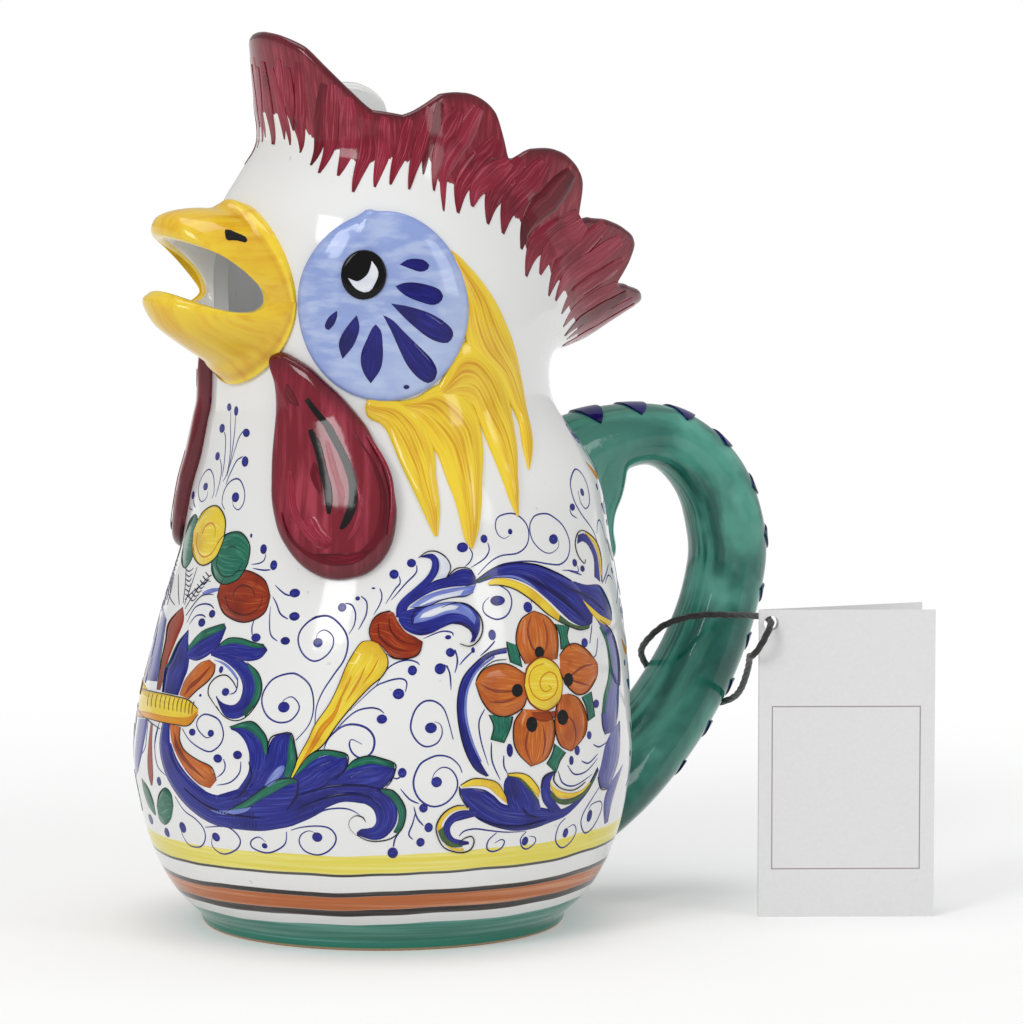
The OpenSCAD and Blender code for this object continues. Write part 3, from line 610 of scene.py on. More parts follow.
# Each stroke: its tip round and up, its root round and up, its half width.
comb_strokes = np.array([
    [-15.5, -13.1, -8.7, 12.1, 2.2], [-10.1, -10.9, -5.4, 12.3, 2.3], [-0.6, -11.2, 0.1, 14, 2.6],
    [6.9, -9.3, 9.9, 15, 2.7], [12.4, -6.5, 14.3, 12.8, 2.2], [15.5, -13.4, 19.6, 14.5, 3],
    [21.9, -17.6, 28.9, 8.7, 3], [26.1, -20.2, 31.9, 8.8, 3.2], [32.9, -20.6, 37.2, 5.3, 3.8],
    [38.7, -25.4, 43.2, 1.2, 3.2], [45.1, -22.9, 49.1, -1, 3.2], [49.9, -21.2, 57.9, 1.5, 3],
    [55.9, -21.4, 65.8, 6, 3], [61.1, -15.3, 70.1, 8.5, 2.7], [64.4, -19.6, 73.7, 8, 3],
    [66.9, -24.8, 77.4, 11.4, 3], [71.7, -23.6, 81.3, 5.4, 3], [75.7, -19.4, 84.1, 2.9, 3],
    [79.4, -22.2, 86.7, 4.7, 3.1], [83.5, -22.1, 91.3, 8.5, 3.3], [89, -22.6, 97.2, 12.4, 3.4],
    [90.5, -30.3, 101.6, 5, 3.4], [95.7, -25.2, 103.5, 5.8, 3.3], [100, -29.6, 107.9, 10, 3.2],
    [103.4, -28.3, 112.8, 12, 3.1], [108, -30, 116.5, 9, 3], [112, -33.5, 120, 6, 3],
    [117, -35, 125, 6, 3], [121.5, -33.5, 129.5, 8, 3], [126.5, -36, 134, 9, 3],
    [131.5, -34, 138, 10, 3], [137, -36.5, 141, 10, 3]])


def tip_line(a):
    """How far below the top ring the painted tips end, by angle from the front."""
    round_mm = np.radians(np.abs((np.asarray(a) + 180) % 360 - 180)) * comb_r
    return np.interp(round_mm, comb_strokes[:, 0], comb_strokes[:, 1])


run_out = np.concatenate([np.repeat((comb_ts - top_ring) * ring_mm, comb_cols, 1), lift])
above = run_out - tip_line(comb_turn)[None, :]
red_out = np.clip((above - hem) / hem_soft + 0.5, -1, 2)
edge_out = np.clip(1 - (rise + rim_t / 2 - run_out) / dark_edge, 0, 1)
inside = np.ones((comb_rows, comb_cols))
# The outer three rows of the rounded edge are red, the rest of it is white like the inside.
red_rim = np.repeat([[1.5], [1.5], [1.5], [-1], [-1]], comb_cols, 1)
comb_red = np.concatenate([red_out, red_rim, -np.ones_like(lift), -inside])
comb_edge = np.concatenate([edge_out, np.ones_like(red_rim), np.ones_like(lift), 0 * inside])
run_all = np.concatenate([run_out, np.repeat(rise + 1, len(round_turn), 0), lift[::-1],
                          run_out[:comb_rows][::-1]])
comb_uv = np.stack([np.broadcast_to(comb_turn[None, :] / 180, run_all.shape), run_all / 100], -1)
make_piece("comb_painted", comb_points, tube_faces(len(comb_points), comb_cols, wrap=True), comb_finish,
           ["comb"], crease=60,
           maps={"stroke": comb_uv, "red": comb_red.ravel(), "edge": comb_edge.ravel()})

# %% [markdown]
# ## Beak
# Each half is a hand-shaped sheet of clay luted round the throat. It is swept round the mouth from
# one corner to the other: its outside goes from the collar to the lip by a table of shares, a low
# ring runs round it behind the lip, and it turns back inside. A small bump stands on top where the
# beak meets the head. The yellow is brushed with orange where it pools, an orange band of painted
# shade lies in the groove behind the ring, and the inside stays white.
# %% Yellow glaze
def yellow_wash(tree, pool, streak):
    """Yellow pigment, orange where it pooled or was brushed twice; on the beak also painted shade in its
    groove.
    """
    wash = over(tree, step_up(tree, streak, 0.45, 0.75), paint(248, 216, 56), paint(240, 192, 40))
    return over(tree, pool, wash, paint(206, 136, 24))


beak_finish, tree, place = new_finish("glaze_yellow")
# On the beak this attribute holds pooled pigment and the painted shade in the groove behind the collar ring.
pool = add(tree, "ShaderNodeAttribute", attribute_name="pool").outputs["Fac"]
bare = add(tree, "ShaderNodeAttribute", attribute_name="bare").outputs["Fac"]
on_stroke = add(tree, "ShaderNodeUVMap", uv_map="stroke").outputs[0]
streak = cloud(tree, on_stroke, 1.0, 4.0, (22, 5, 1))
pool = sums(tree, "MULTIPLY", pool, sums(tree, "MULTIPLY", streak, 1.5), clamp=True)
fire(tree, over(tree, step_up(tree, bare, 0.4, 0.6), yellow_wash(tree, pool, streak),
                white_ground(tree, place)), place, rough=0.12)

# %% Beak
upper_tip_x, lower_tip_x, upper_tip_z, lower_tip_z, lip_t = 69.8, 72.7, 198.6, 183.2, 3.4
corner_t, corner_in, collar_more, collar_sink, seam = 1.3, 1.5, 1.5, 0.15, 0.05
ring_out, ring_at_share, ring_share, ring_forward = 0.9, 0.07, 0.05, 0.5
bump_x, bump_h, bump_half_w, bump_half_l = -49.8, 2.4, 4.2, 2.6
inside_shares, lip_shares = (0.55, 0.9), (0.9, 0.1, 0.12)
# Share of the way from the lip to the collar: forward, sideways, up.
upper_side = [[1, 1, 1], [0.85, 0.86, 0.9], [0.68, 0.7, 0.87], [0.43, 0.48, 0.93], [0.166, 0.25, 0.88],
              [0, 0.12, 0.73], [-0.058, 0.06, 0.52], [-0.075, 0.02, 0.31], [-0.05, 0, 0.1], [0, 0, 0]]
lower_side = [[1, 1, 1], [0.92, 0.92, 1.0], [0.8, 0.82, 0.9], [0.71, 0.74, 0.8], [0.4, 0.46, 0.61],
              [0.09, 0.16, 0.39], [-0.06, 0.04, 0.17], [-0.076, 0, 0.06], [0, 0, 0]]
# How far the orange reaches, by share of the way from the collar to the lip: its peak just behind
# the raised ring is painted shade in the groove there, the rest is pooled pigment.
pool_and_groove_shade_at, pool_and_groove_shade_shares = [0, 0.12, 0.17, 0.24, 0.6, 0.88, 1], [0.1, 0, 0.85, 0.5, 0.35, 0.12, 0.05]
beak_rows, beak_bend, lip_round = 96, 26, 6


def collar_point(y, z):
    """Point on the head at a side distance y and a height z, a hair under the glaze."""
    return over_skin(np.degrees(np.arcsin(y / neck_r)), z, np.full(np.shape(y), -collar_sink))


def beak_half(up, collar_z, bore_z, tip_x, tip_z, side_shares, bulge, lip_power, dip):
    """Rows round the mouth, each one a closed loop: the outside runs from the collar to the lip by
    its table of shares, the lip is rounded, and the inside bends back to the bore. Widths follow
    the cosine of the turn round the mouth and collar heights its sine."""
    p = np.radians(90 - 90 * np.cos(np.linspace(0, np.pi, beak_rows + 1)))
    c, n = np.cos(p), np.sin(p)
    corner_x = np.sqrt(neck_r ** 2 - mouth_half_w ** 2)
    z0 = mouth_z - up * seam
    early = n ** lip_power
    lip_z = z0 + (tip_z - z0) * early - dip * 4 * early * (1 - early)
    lip_x = corner_x + corner_t * (1 - n) + (tip_x - corner_x) * n
    wide, wide_in = (mouth_half_w + lip_t + corner_in) * c, (mouth_half_w + corner_in) * c
    collar = collar_point((collar_half_w + collar_more) * c, z0 + (collar_z - z0) * n)
    lip = np.stack([-lip_x, -wide, lip_z], -1)
    outside = lip[:, None] + (collar - lip)[:, None] * along(side_shares, beak_bend)
    run = np.linspace(0, 1, beak_bend + 1)
    out_way = unit(np.stack([-ring_forward + 0 * c, -c, up * n], -1))
    outside += ring_out * np.exp(-((run - ring_at_share) / ring_share) ** 2)[:, None] * out_way[:, None]
    bore = collar_point(mouth_half_w * c, z0 + (bore_z - z0) * n)
    lip_in = np.stack([-lip_x + lip_t * n * lip_shares[0], -wide_in, lip_z], -1)
    bend_in = np.stack([-(corner_x + (lip_x - corner_x) * bulge[0] * inside_shares[0]), -wide_in,
                        lip_z + (bore[:, 2] - lip_z) * bulge[1] * inside_shares[1]], -1)
    lip_more = np.stack([-lip_t * lip_shares[1] + 0 * n, 0 * n, -up * lip_t * lip_shares[2] * n], -1)
    top = (lip + lip_in) / 2 + lip_more
    inside = bezier(lip_in[:, None], bend_in[:, None], bore[:, None], run[None, :, None])
    g = np.linspace(0, 1, lip_round + 2)[1:-1][None, :, None]
    edge = bezier(lip[:, None], 2 * top[:, None] - (lip + lip_in)[:, None] / 2, lip_in[:, None], g)
    under = collar_point((collar_half_w + mouth_half_w) / 2 * c, (collar[:, 2] + bore[:, 2]) / 2)[:, None]
    points = np.concatenate([outside, edge, inside, under], 1)
    shade = np.zeros(points.shape[:2])
    # Orange on the outside: pooled pigment, with painted shade in the groove just behind the raised ring.
    shade[:, :beak_bend + 1] = np.interp(run, pool_and_groove_shade_at, pool_and_groove_shade_shares)
    bare = np.zeros(points.shape[:2])
    bare[:, beak_bend + 1 + lip_round:] = 1
    at = np.linspace(0, 1, points.shape[1])
    uv = np.stack(np.broadcast_arrays((p / np.pi)[:, None], at[None, :]), -1)
    return points, shade, bare, outside, uv


def draw_beak(name, node, *shape):
    """One half of the beak as a piece."""
    points, shade, bare, outside, uv = beak_half(*shape)
    rows, cols = points.shape[:2]
    bump = np.exp(-((points[..., 1] / bump_half_w) ** 2 + ((points[..., 0] - bump_x) / bump_half_l) ** 2))
    if shape[0] > 0:
        points[:, :beak_bend + 1, 2] += bump_h * bump[:, :beak_bend + 1]
    make_piece(name, points, capped(rows, cols), beak_finish, [node], crease=50,
               maps={"stroke": uv.reshape(-1, 2), "pool": shade.ravel(), "bare": bare.ravel()})
    return outside


upper_shape = (1, collar_top_z, mouth_z + throat_up, upper_tip_x, upper_tip_z, upper_side,
               (0.8, 1.15), 0.5, 0)
lower_shape = (-1, collar_low_z, mouth_z - throat_down, lower_tip_x, lower_tip_z, lower_side,
               (0.62, 0.68), 0.65, 4.0)
upper_back = draw_beak("upper_beak", "beak_upper", *upper_shape)
draw_beak("lower_beak", "beak_lower", *lower_shape)

# %% [markdown]
# ## Face: discs, eyes and wattles
# These are pads of clay pressed on the head. Each is a stack of outlines that shrink to the middle
# while they rise, so its edge is round and its crown nearly flat. Both sides are alike.
# %% Pads
seat_gap, under_h = 0.3, -0.4
# Share of the way out to the edge, and of the thickness there.
crown_rise = np.array([[1, 0.0], [1, 0.3], [0.985, 0.55], [0.96, 0.72], [0.93, 0.82], [0.88, 0.89],
                       [0.82, 0.93], [0.7, 0.97], [0.55, 1], [0.42, 1], [0.28, 1], [0.15, 1], [0.02, 1]])
under_shares = [0.02, 0.5, 0.97]
sides = {"left": 1, "right": -1}


def crown(share):
    """Height of a pad, as a share of its thickness, at a share of the way out to its edge."""
    return np.interp(share, crown_rise[::-1, 0], crown_rise[::-1, 1])


def pad(name, node, centre_a, centre_z, half_w, half_h, edge, thick, base, relief, side, finish):
    """A pad on the head: rings of the outline edge, laid on the skin round a centre."""
    share = np.concatenate([crown_rise[:, 0], under_shares])
    high = np.concatenate([base + thick * crown_rise[:, 1], np.full(len(under_shares), under_h)])
    order = np.r_[len(crown_rise) - 1:-1:-1, len(share) - 1:len(crown_rise) - 1:-1]
    place = edge[None, :, :] * share[order][:, None, None] * [half_w, half_h]
    rows, cols = place.shape[:2]
    extra = relief(place[..., 0], place[..., 1]) * (high[order] > 0)[:, None] if relief else 0
    a = centre_a + np.degrees(place[..., 0] / neck_r)
    points = over_skin(a, centre_z + place[..., 1], np.broadcast_to(high[order][:, None], a.shape) + extra)
    points[..., 1] *= side
    uv = place / [half_w * 2, half_h * 2] + 0.5
    rim = np.repeat(share[order], cols)
    return make_piece(name, points, capped(rows, cols), finish, [node], crease=60,
                      maps={"stroke": uv.reshape(-1, 2), "rim": rim})


# %% Sky-blue disc round the eye
disc_a, disc_z, disc_half_w, disc_half_h, disc_t = 61.0, 180.0, 24.4, 26.0, 2.0
eye_r, eye_half_w, eye_t = 6.6, 6.0, 1.0
eye_at = np.array([-0.213 * disc_half_w, 0.345 * disc_half_h])
brow_t, brow_gap, brow_half = 0.55, 1.6, 1.7
knob_x, knob_z, knob_t, knob_spread = -4.4, 23.5, 1.3, 6
peak_share, peak_deg, peak_half_deg = 0.035, 101, 4
round_deg = np.arange(0, 360, 3.0)
circle = np.stack([np.cos(np.radians(round_deg)), np.sin(np.radians(round_deg))], -1)
peaked = circle * (1 + peak_share * np.exp(-((round_deg - peak_deg) / peak_half_deg) ** 2))[:, None]


def brow(x, z):
    """Soft ring of clay round the eye, and a small knob at the top of the disc."""
    ring = np.exp(-((np.hypot(x - eye_at[0], z - eye_at[1]) - eye_r - brow_gap) / brow_half) ** 2)
    return brow_t * ring + knob_t * np.exp(-((x - knob_x) ** 2 + (z - knob_z) ** 2) / knob_spread)


disc_finish, tree, place = new_finish("glaze_sky")
on_pad = add(tree, "ShaderNodeUVMap", uv_map="stroke").outputs[0]
rim = add(tree, "ShaderNodeAttribute", attribute_name="rim").outputs["Fac"]
strokes = cloud(tree, on_pad, 1.0, 4.0, (5, 16, 1))
water = over(tree, step_up(tree, strokes, 0.4, 0.66), paint(146, 166, 220), paint(178, 194, 232))
low_right = add(tree, "ShaderNodeSeparateXYZ", {0: on_pad}).outputs
fade = sums(tree, "SUBTRACT", low_right["X"], low_right["Y"])
water = over(tree, sums(tree, "MULTIPLY", step_up(tree, fade, -0.1, 0.5), 0.55), water, paint(190, 204, 234))
patches = step_up(tree, cloud(tree, on_pad, 3.0, 3.0), 0.55, 0.7)
water = over(tree, sums(tree, "MULTIPLY", patches, 0.5), water, paint(126, 146, 212))
water = over(tree, sums(tree, "MULTIPLY", step_up(tree, rim, 0.92, 1.0), 0.5), water, paint(116, 138, 208))
fire(tree, water, place)

black_finish, tree, place = new_finish("glaze_black")
black_wash = over(tree, cloud(tree, place, 60.0), paint(5, 5, 6), paint(12, 11, 13))
fire(tree, black_wash, place, rough=0.07, ior=1.3)

for hand, side in sides.items():
    pad("eye_disc_glazed_" + hand, "eye_disc_" + hand, disc_a, disc_z, disc_half_w, disc_half_h, peaked,
        disc_t, seat_gap, brow, side, disc_finish)
    pad("eye_glazed_" + hand, "eye_" + hand, disc_a + np.degrees(eye_at[0] / neck_r), disc_z + eye_at[1],
        eye_half_w, eye_r, circle, eye_t, seat_gap * 2 + disc_t, None, side, black_finish)

# %% Wattles
wattle_a, wattle_half_w, wattle_top_z, wattle_low_z, wattle_t = 40.5, 17.5, 166.0, 106.5, 4.0
wattle_z, wattle_half_h = (wattle_top_z + wattle_low_z) / 2, (wattle_top_z - wattle_low_z) / 2
wattle_shares = [
    [-0.83, 1.015], [-0.91, 0.97], [-0.82, 0.82], [-0.77, 0.61], [-0.78, 0.34], [-0.82, -0.01],
    [-0.78, -0.29], [-0.7, -0.49], [-0.57, -0.69], [-0.3, -0.9], [-0.02, -1.01], [0.22, -1.04],
    [0.45, -1.02], [0.65, -0.97], [0.84, -0.85], [0.97, -0.68], [1.03, -0.44], [1.01, -0.26],
    [0.92, 0.01], [0.8, 0.21], [0.65, 0.4], [0.34, 0.62], [0.03, 0.78], [-0.21, 0.9], [-0.5, 0.99],
    [-0.69, 1.03]]
wattle_steps = 156
wattle_edge = along(wattle_shares, wattle_steps, closed=True)[:-1]
# Place of a painted highlight on the wattle's map: the crimson turns paler round it.
painted_highlight_at = (0.46, 0.34, 0)

wattle_finish, tree, place = new_finish("glaze_crimson_wattle")
on_pad = add(tree, "ShaderNodeUVMap", uv_map="stroke").outputs[0]
rim = add(tree, "ShaderNodeAttribute", attribute_name="rim").outputs["Fac"]
streak = cloud(tree, on_pad, 1.0, 4.0, (15, 2.2, 1))
off_painted_highlight = add(tree, "ShaderNodeVectorMath", {0: on_pad, 1: painted_highlight_at}, operation="DISTANCE").outputs["Value"]
# Painted highlight: within reach of that place the streaks are pushed paler.
light = sums(tree, "MULTIPLY", step_up(tree, off_painted_highlight, 0.05, 0.3, 1.0, 0.0), streak)
wash = crimson_wash(tree, sums(tree, "ADD", streak, sums(tree, "MULTIPLY", light, 0.22)),
                    sums(tree, "MULTIPLY", step_up(tree, rim, 0.78, 1.0), 0.7))
fire(tree, wash, place, rough=0.09)
for hand, side in sides.items():
    pad("wattle_painted_" + hand, "wattle_" + hand, wattle_a, wattle_z, wattle_half_w, wattle_half_h,
        wattle_edge, wattle_t, seat_gap, None, side, wattle_finish)

# %% [markdown]
# ## Neck feathers
# Four rolled strips of clay fan out below the disc, each with a point. A strip could be a curved
# spine with a width; here its low and high edge are drawn apart, because they bend differently, and
# the middle stands higher than both. Their yellow is darker along the sides, where it pools.
# %% Neck feathers
feather_t, full_width = 1.3, 5.0
# Low and high edge of each feather in millimetres from the disc's centre, root first.
feather_edges = [
    ([-5.5, -27.7, -4.6, -30.6, -0.2, -33.7, 2.8, -43.8, 5.8, -52.2, 8.3, -58.9, 9.8, -62.6],
     [-5.4, -27.3, -4.4, -25.2, -1, -25.4, 5, -26.4, 10, -31, 12, -39, 11.4, -46.8, 11.4,
      -55.1, 10.6, -62.6]),
    ([3.6, -27.6, 8, -31, 12, -39, 13.1, -41.8, 14.3, -48, 15.8, -54.1, 17.4, -63.2, 19, -66.4],
     [4.2, -26, 9, -25, 16, -21.5, 22.5, -24.5, 26.6, -30, 27, -35.1, 25.8, -41.9, 23.6,
      -50.1, 21.4, -61.1, 19.4, -66.4]),
    ([15.4, -25.4, 21, -25.6, 25.6, -28, 27.1, -32.2, 28.3, -39.2, 29.5, -47.7, 30.2, -53.3,
      31.6, -58.4],
     [14, -24, 17, -19, 21, -11, 28, -11, 35, -18, 39.3, -28.1, 37.6, -37.6, 33.8,
      -48.1, 32, -58.4]),
    ([20.2, 14.9, 18.6, 11, 20.6, 5.7, 22.4, -0.7, 23, -7.5, 26, -14.5, 34, -20, 39.3,
      -28.1, 41.2, -33.3, 39, -40.1, 37.8, -46.3],
     [20.6, 15.2, 23.4, 13, 27.8, 8.2, 33, 1.6, 37.5, -5.6, 41.4, -12.2, 44.6, -20.1, 46.4,
      -28.8, 44, -38, 38.2, -46.3])]
feather_steps = 60
feather_across = np.array([1, 1, 0.96, 0.85, 0.6, 0.3, 0, -0.3, -0.6, -0.85, -0.96, -1, -1])
feather_high = np.array([-0.3, 0.1, 0.3, 0.5, 0.78, 0.94, 1, 0.94, 0.78, 0.5, 0.3, 0.1, -0.3])

feather_finish, tree, place = new_finish("glaze_yellow_feather")
on_stroke = add(tree, "ShaderNodeUVMap", uv_map="stroke").outputs[0]
across = add(tree, "ShaderNodeSeparateXYZ", {0: on_stroke}).outputs["Y"]
streak = cloud(tree, on_stroke, 1.0, 4.0, (2.5, 17, 1))
side_pool = sums(tree, "ABSOLUTE", sums(tree, "SUBTRACT", across, 0.5))
side_pool = step_up(tree, side_pool, 0.12, 0.42, 0.9, 0.0)
pool = sums(tree, "MULTIPLY", side_pool, step_up(tree, streak, 0.34, 0.7), clamp=True)
fire(tree, yellow_wash(tree, pool, streak), place, rough=0.12)


def feather(low_edge, high_edge):
    """Points and map of one feather, laid on the head at the left side."""
    low, high = (even(pairs(edge), feather_steps) for edge in (low_edge, high_edge))
    place = (low + high)[:, None] / 2 + (high - low)[:, None] / 2 * feather_across[:, None]
    room = np.minimum(np.linalg.norm(high - low, axis=-1) / full_width, 1)[:, None]
    up = seat_gap + feather_t * feather_high * np.where(feather_high > 0, room, 1)
    points = over_skin(disc_a + np.degrees(place[..., 0] / neck_r), disc_z + place[..., 1], up)
    run = np.linspace(0, 1, feather_steps + 1)[:, None]
    return points, np.stack(np.broadcast_arrays(run, (1 - feather_across[None, :]) / 2), -1)


feather_cols = len(feather_across)
for hand, side in sides.items():
    laid = [feather(*f) for f in feather_edges]
    points = np.array([p for p, uv in laid]) * [1, side, 1]
    one, count = capped(feather_steps + 1, feather_cols), (feather_steps + 1) * feather_cols
    faces = [[v + k * count for v in f] for k in range(len(laid)) for f in one]
    feather_map = np.array([uv for p, uv in laid]).reshape(-1, 2)
    make_piece("neck_feathers_painted_" + hand, points, faces, feather_finish,
               ["neck_feathers_" + hand], crease=60, maps={"stroke": feather_map})

# %% [markdown]
# ## Handle
# The bar is pulled from wet clay, bent, and luted on; a short curl hangs below the upper joint. Two
# swept tubes give the form. A voxel remesh melts them into one, as wet clay is smoothed with a
# finger, and a few smoothing passes soften the inner corner.
# %% Handle
handle_x, handle_top_z, handle_low_z, grip_r, curl_h = 117.2, 135.0, 27.0, 11.6, 21.0
# Share of the way out from the pitcher's back, of the way up, and of the grip's thickness and width.
handle_shares = [[-0.12, 0.895, 1.2, 1.1], [0.01, 0.949, 1.06, 1.02], [0.245, 0.986, 0.9, 0.95],
                 [0.47, 1, 0.78, 0.9], [0.64, 0.981, 0.8, 0.9], [0.793, 0.92, 0.87, 0.92],
                 [0.908, 0.843, 0.94, 0.96], [0.976, 0.75, 0.99, 1], [1, 0.667, 1, 1],
                 [0.971, 0.583, 1, 1], [0.896, 0.48, 1, 1.02], [0.758, 0.361, 1.02, 1.08],
                 [0.573, 0.25, 1.04, 1.15], [0.369, 0.153, 1.06, 1.28], [0.155, 0.069, 1.1, 1.42],
                 [-0.12, -0.02, 1.15, 1.5]]
curl_shares = [[0.75, -0.35, 0.75, 0.9], [0.6, 0, 0.62, 0.85], [0.42, 0.3, 0.5, 0.75], [0.36, 0.6, 0.42, 0.7],
               [0.45, 0.85, 0.38, 0.6], [0.52, 1, 0.26, 0.42]]
handle_steps, curl_steps, bar_sides = 150, 40, 48
curl_top_z = handle_low_z + (handle_top_z - handle_low_z) * 0.86
melt_voxel, rub_share, rub_times = 0.0009, 0.5, 10
wall_soft, handle_sink, line_step, turn_reach = 1.2, 0.35, 3, 6.0


def back_at(z):
    """Reach of the pitcher's back behind the axis at height z."""
    return ring_point(180.0, ring_at(180.0, z))[..., 0]


def bar(rows):
    """Closed tube of ellipses along a line in the middle plane: rows of reach, height, half
    thickness and half width, each ellipse square to the line."""
    ahead = unit(np.gradient(rows[:, :2], axis=0))
    q = np.radians(-np.arange(bar_sides) * 360 / bar_sides)[None, :]
    return np.stack([rows[:, :1] + ahead[:, 1:2] * rows[:, 2:3] * np.cos(q), rows[:, 3:4] * np.sin(q),
                     rows[:, 1:2] - ahead[:, :1] * rows[:, 2:3] * np.cos(q)], -1)


path = along(handle_shares, handle_steps)
handle_z = handle_low_z + (handle_top_z - handle_low_z) * path[:, 1]
handle_reach = back_at(handle_z) + (handle_x - back_at(handle_z)) * path[:, 0]
handle_line = np.stack([handle_reach, handle_z], -1)
handle_rows = np.column_stack([handle_line, grip_r * path[:, 2:]])
handle_bar = bar(handle_rows)
path = along(curl_shares, curl_steps)
curl_z = curl_top_z - curl_h * path[:, 1]
curl_bar = bar(np.column_stack([back_at(curl_z) + grip_r * path[:, 0], curl_z, grip_r * path[:, 2:]]))

clay = bpy.data.meshes.new("handle_clay")
bar_faces = capped(handle_steps + 1, bar_sides)
curl_faces = [[v + handle_bar.size // 3 for v in f] for f in capped(curl_steps + 1, bar_sides)]
clay.from_pydata((np.concatenate([handle_bar.reshape(-1, 3), curl_bar.reshape(-1, 3)]) * MM).tolist(), [],
                 bar_faces + curl_faces)
held = bpy.data.objects.new("handle_clay", clay)
bpy.context.collection.objects.link(held)
melt = held.modifiers.new("melt", "REMESH")
melt.mode, melt.voxel_size = "VOXEL", melt_voxel
rub = held.modifiers.new("rub", "SMOOTH")
rub.factor, rub.iterations = rub_share, rub_times
melted = bpy.data.meshes.new_from_object(held.evaluated_get(bpy.context.evaluated_depsgraph_get()))
bpy.data.objects.remove(held)
handle_points = np.zeros(len(melted.vertices) * 3)
melted.vertices.foreach_get("co", handle_points)
handle_points = handle_points.reshape(-1, 3) / MM
handle_faces = [list(f.vertices) for f in melted.polygons]


def off_wall(points, gap):
    """Points inside the belly's skin, moved straight out to gap off it, with a soft start."""
    z = np.clip(points[:, 2], foot_h + 1, neck_z)
    reach = np.linalg.norm(points[:, :2], axis=-1)
    a = np.degrees(np.arctan2(-points[:, 1], -points[:, 0]))
    for _ in range(3):
        on = ring_point(a, ring_at(a, z))
        a = a + np.degrees(np.arctan2(-points[:, 1], -points[:, 0]) - np.arctan2(-on[:, 1], -on[:, 0]))
    wall_r = np.linalg.norm(on[:, :2], axis=-1) + gap
    depth = reach - wall_r
    soft = 0.5 * (depth + np.sqrt(depth ** 2 + wall_soft))
    moved = points.copy()
    moved[:, :2] *= ((wall_r + soft) / np.maximum(reach, 1))[:, None]
    return moved


handle_points = off_wall(handle_points, -handle_sink)
# The brush's map: how far along the bar each point is, by the nearest parts of its line, and how far
# round it.
gap_to_line = np.linalg.norm(handle_points[:, None, ::2] - handle_line[None, ::line_step], axis=-1)
weigh = np.exp(gap_to_line.min(1, keepdims=True) - gap_to_line)
run = (weigh * np.linspace(0, 1, weigh.shape[1])).sum(1) / weigh.sum(1)
turn = np.arctan2(handle_points[:, 1], turn_reach)
print("handle:", len(handle_points), "points")

# %% Teal glaze of the handle
handle_finish, tree, place = new_finish("glaze_green")
run_of = add(tree, "ShaderNodeAttribute", attribute_name="run").outputs["Fac"]
turn_of = add(tree, "ShaderNodeAttribute", attribute_name="turn").outputs["Fac"]
brush_map = add(tree, "ShaderNodeCombineXYZ", {0: run_of, 1: turn_of}).outputs[0]
swept = cloud(tree, brush_map, 1.0, 4.0, (4.5, 5, 1))
patchy = cloud(tree, place, 42.0, 3.0)
teal = over(tree, step_up(tree, swept, 0.38, 0.66), paint(14, 94, 82), paint(78, 160, 140))
teal = over(tree, step_up(tree, patchy, 0.5, 0.74), teal, paint(104, 182, 164))
teal = over(tree, sums(tree, "MULTIPLY", step_up(tree, patchy, 0.5, 0.3), 0.5), teal, paint(12, 74, 66))
teal = over(tree, sums(tree, "MULTIPLY", step_up(tree, run_of, 0.34, 0.0), 0.6), teal, paint(96, 172, 152))
fire(tree, teal, place, rough=0.1, ripple=0.3)
make_piece("handle_painted", handle_points, handle_faces, handle_finish, ["handle"], crease=60,
           maps={"run": run, "turn": turn})

# %% [markdown]
# ## Swing tag
# The two leaves are folded card, and the frame's own solids have the right shape, so they stay and
# only get a finish: matt card with a faint grain and one thin printed rule as a plain border.
# %% Card
fold_turn, fold_open = -30.0, 18.0
fold_place = np.array([93.0, -53.5, 0.0])
# The border's middle and half size on the leaf, and where its rule starts to fade and ends, in metres.
border_x, border_z, border_half_w, border_half_h = 0.0254, 0.0375, 0.0212, 0.0235
rule_full, rule_end = 0.00013, 0.0002


def card(name, node, turned):
    """Card finish whose border follows the leaf: the coordinates are turned back to the fold."""
    finish, tree, place = new_finish(name)
    from_fold = add(tree, "ShaderNodeVectorMath", {0: place, 1: tuple(fold_place * MM)},
                    operation="SUBTRACT").outputs[0]
    flat = add(tree, "ShaderNodeVectorRotate", {0: from_fold, "Angle": -np.radians(turned)},
               rotation_type="Z_AXIS").outputs[0]
    axes = add(tree, "ShaderNodeSeparateXYZ", {0: flat}).outputs
    from_x = sums(tree, "ABSOLUTE", sums(tree, "SUBTRACT", axes["X"], border_x))
    off_x = sums(tree, "SUBTRACT", from_x, border_half_w)
    from_z = sums(tree, "ABSOLUTE", sums(tree, "SUBTRACT", axes["Z"], border_z))
    off_z = sums(tree, "SUBTRACT", from_z, border_half_h)
    off = sums(tree, "ABSOLUTE", sums(tree, "MAXIMUM", off_x, off_z))
    rule = step_up(tree, off, rule_full, rule_end, 1.0, 0.0)
    grain = cloud(tree, place, 900.0, 3.0)
    colour = over(tree, grain, paint(240, 240, 241), paint(231, 231, 232))
    colour = over(tree, sums(tree, "MULTIPLY", rule, 0.75), colour, paint(120, 96, 96))
    bump = add(tree, "ShaderNodeBump", {"Strength": 0.12, "Distance": 0.0002, "Height": grain}).outputs[0]
    shader = add(tree, "ShaderNodeBsdfPrincipled", {"Base Color": colour, "Roughness": 0.42, "Normal": bump})
    add(tree, "ShaderNodeOutputMaterial", {0: shader.outputs[0]})
    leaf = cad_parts[node]
    for held in leaf.material_slots:
        held.material = finish
    print(node, "has", len(leaf.material_slots), "finish")


card("card_front", "tag_front_leaf", fold_turn)
card("card_back", "tag_back_leaf", fold_turn + fold_open)

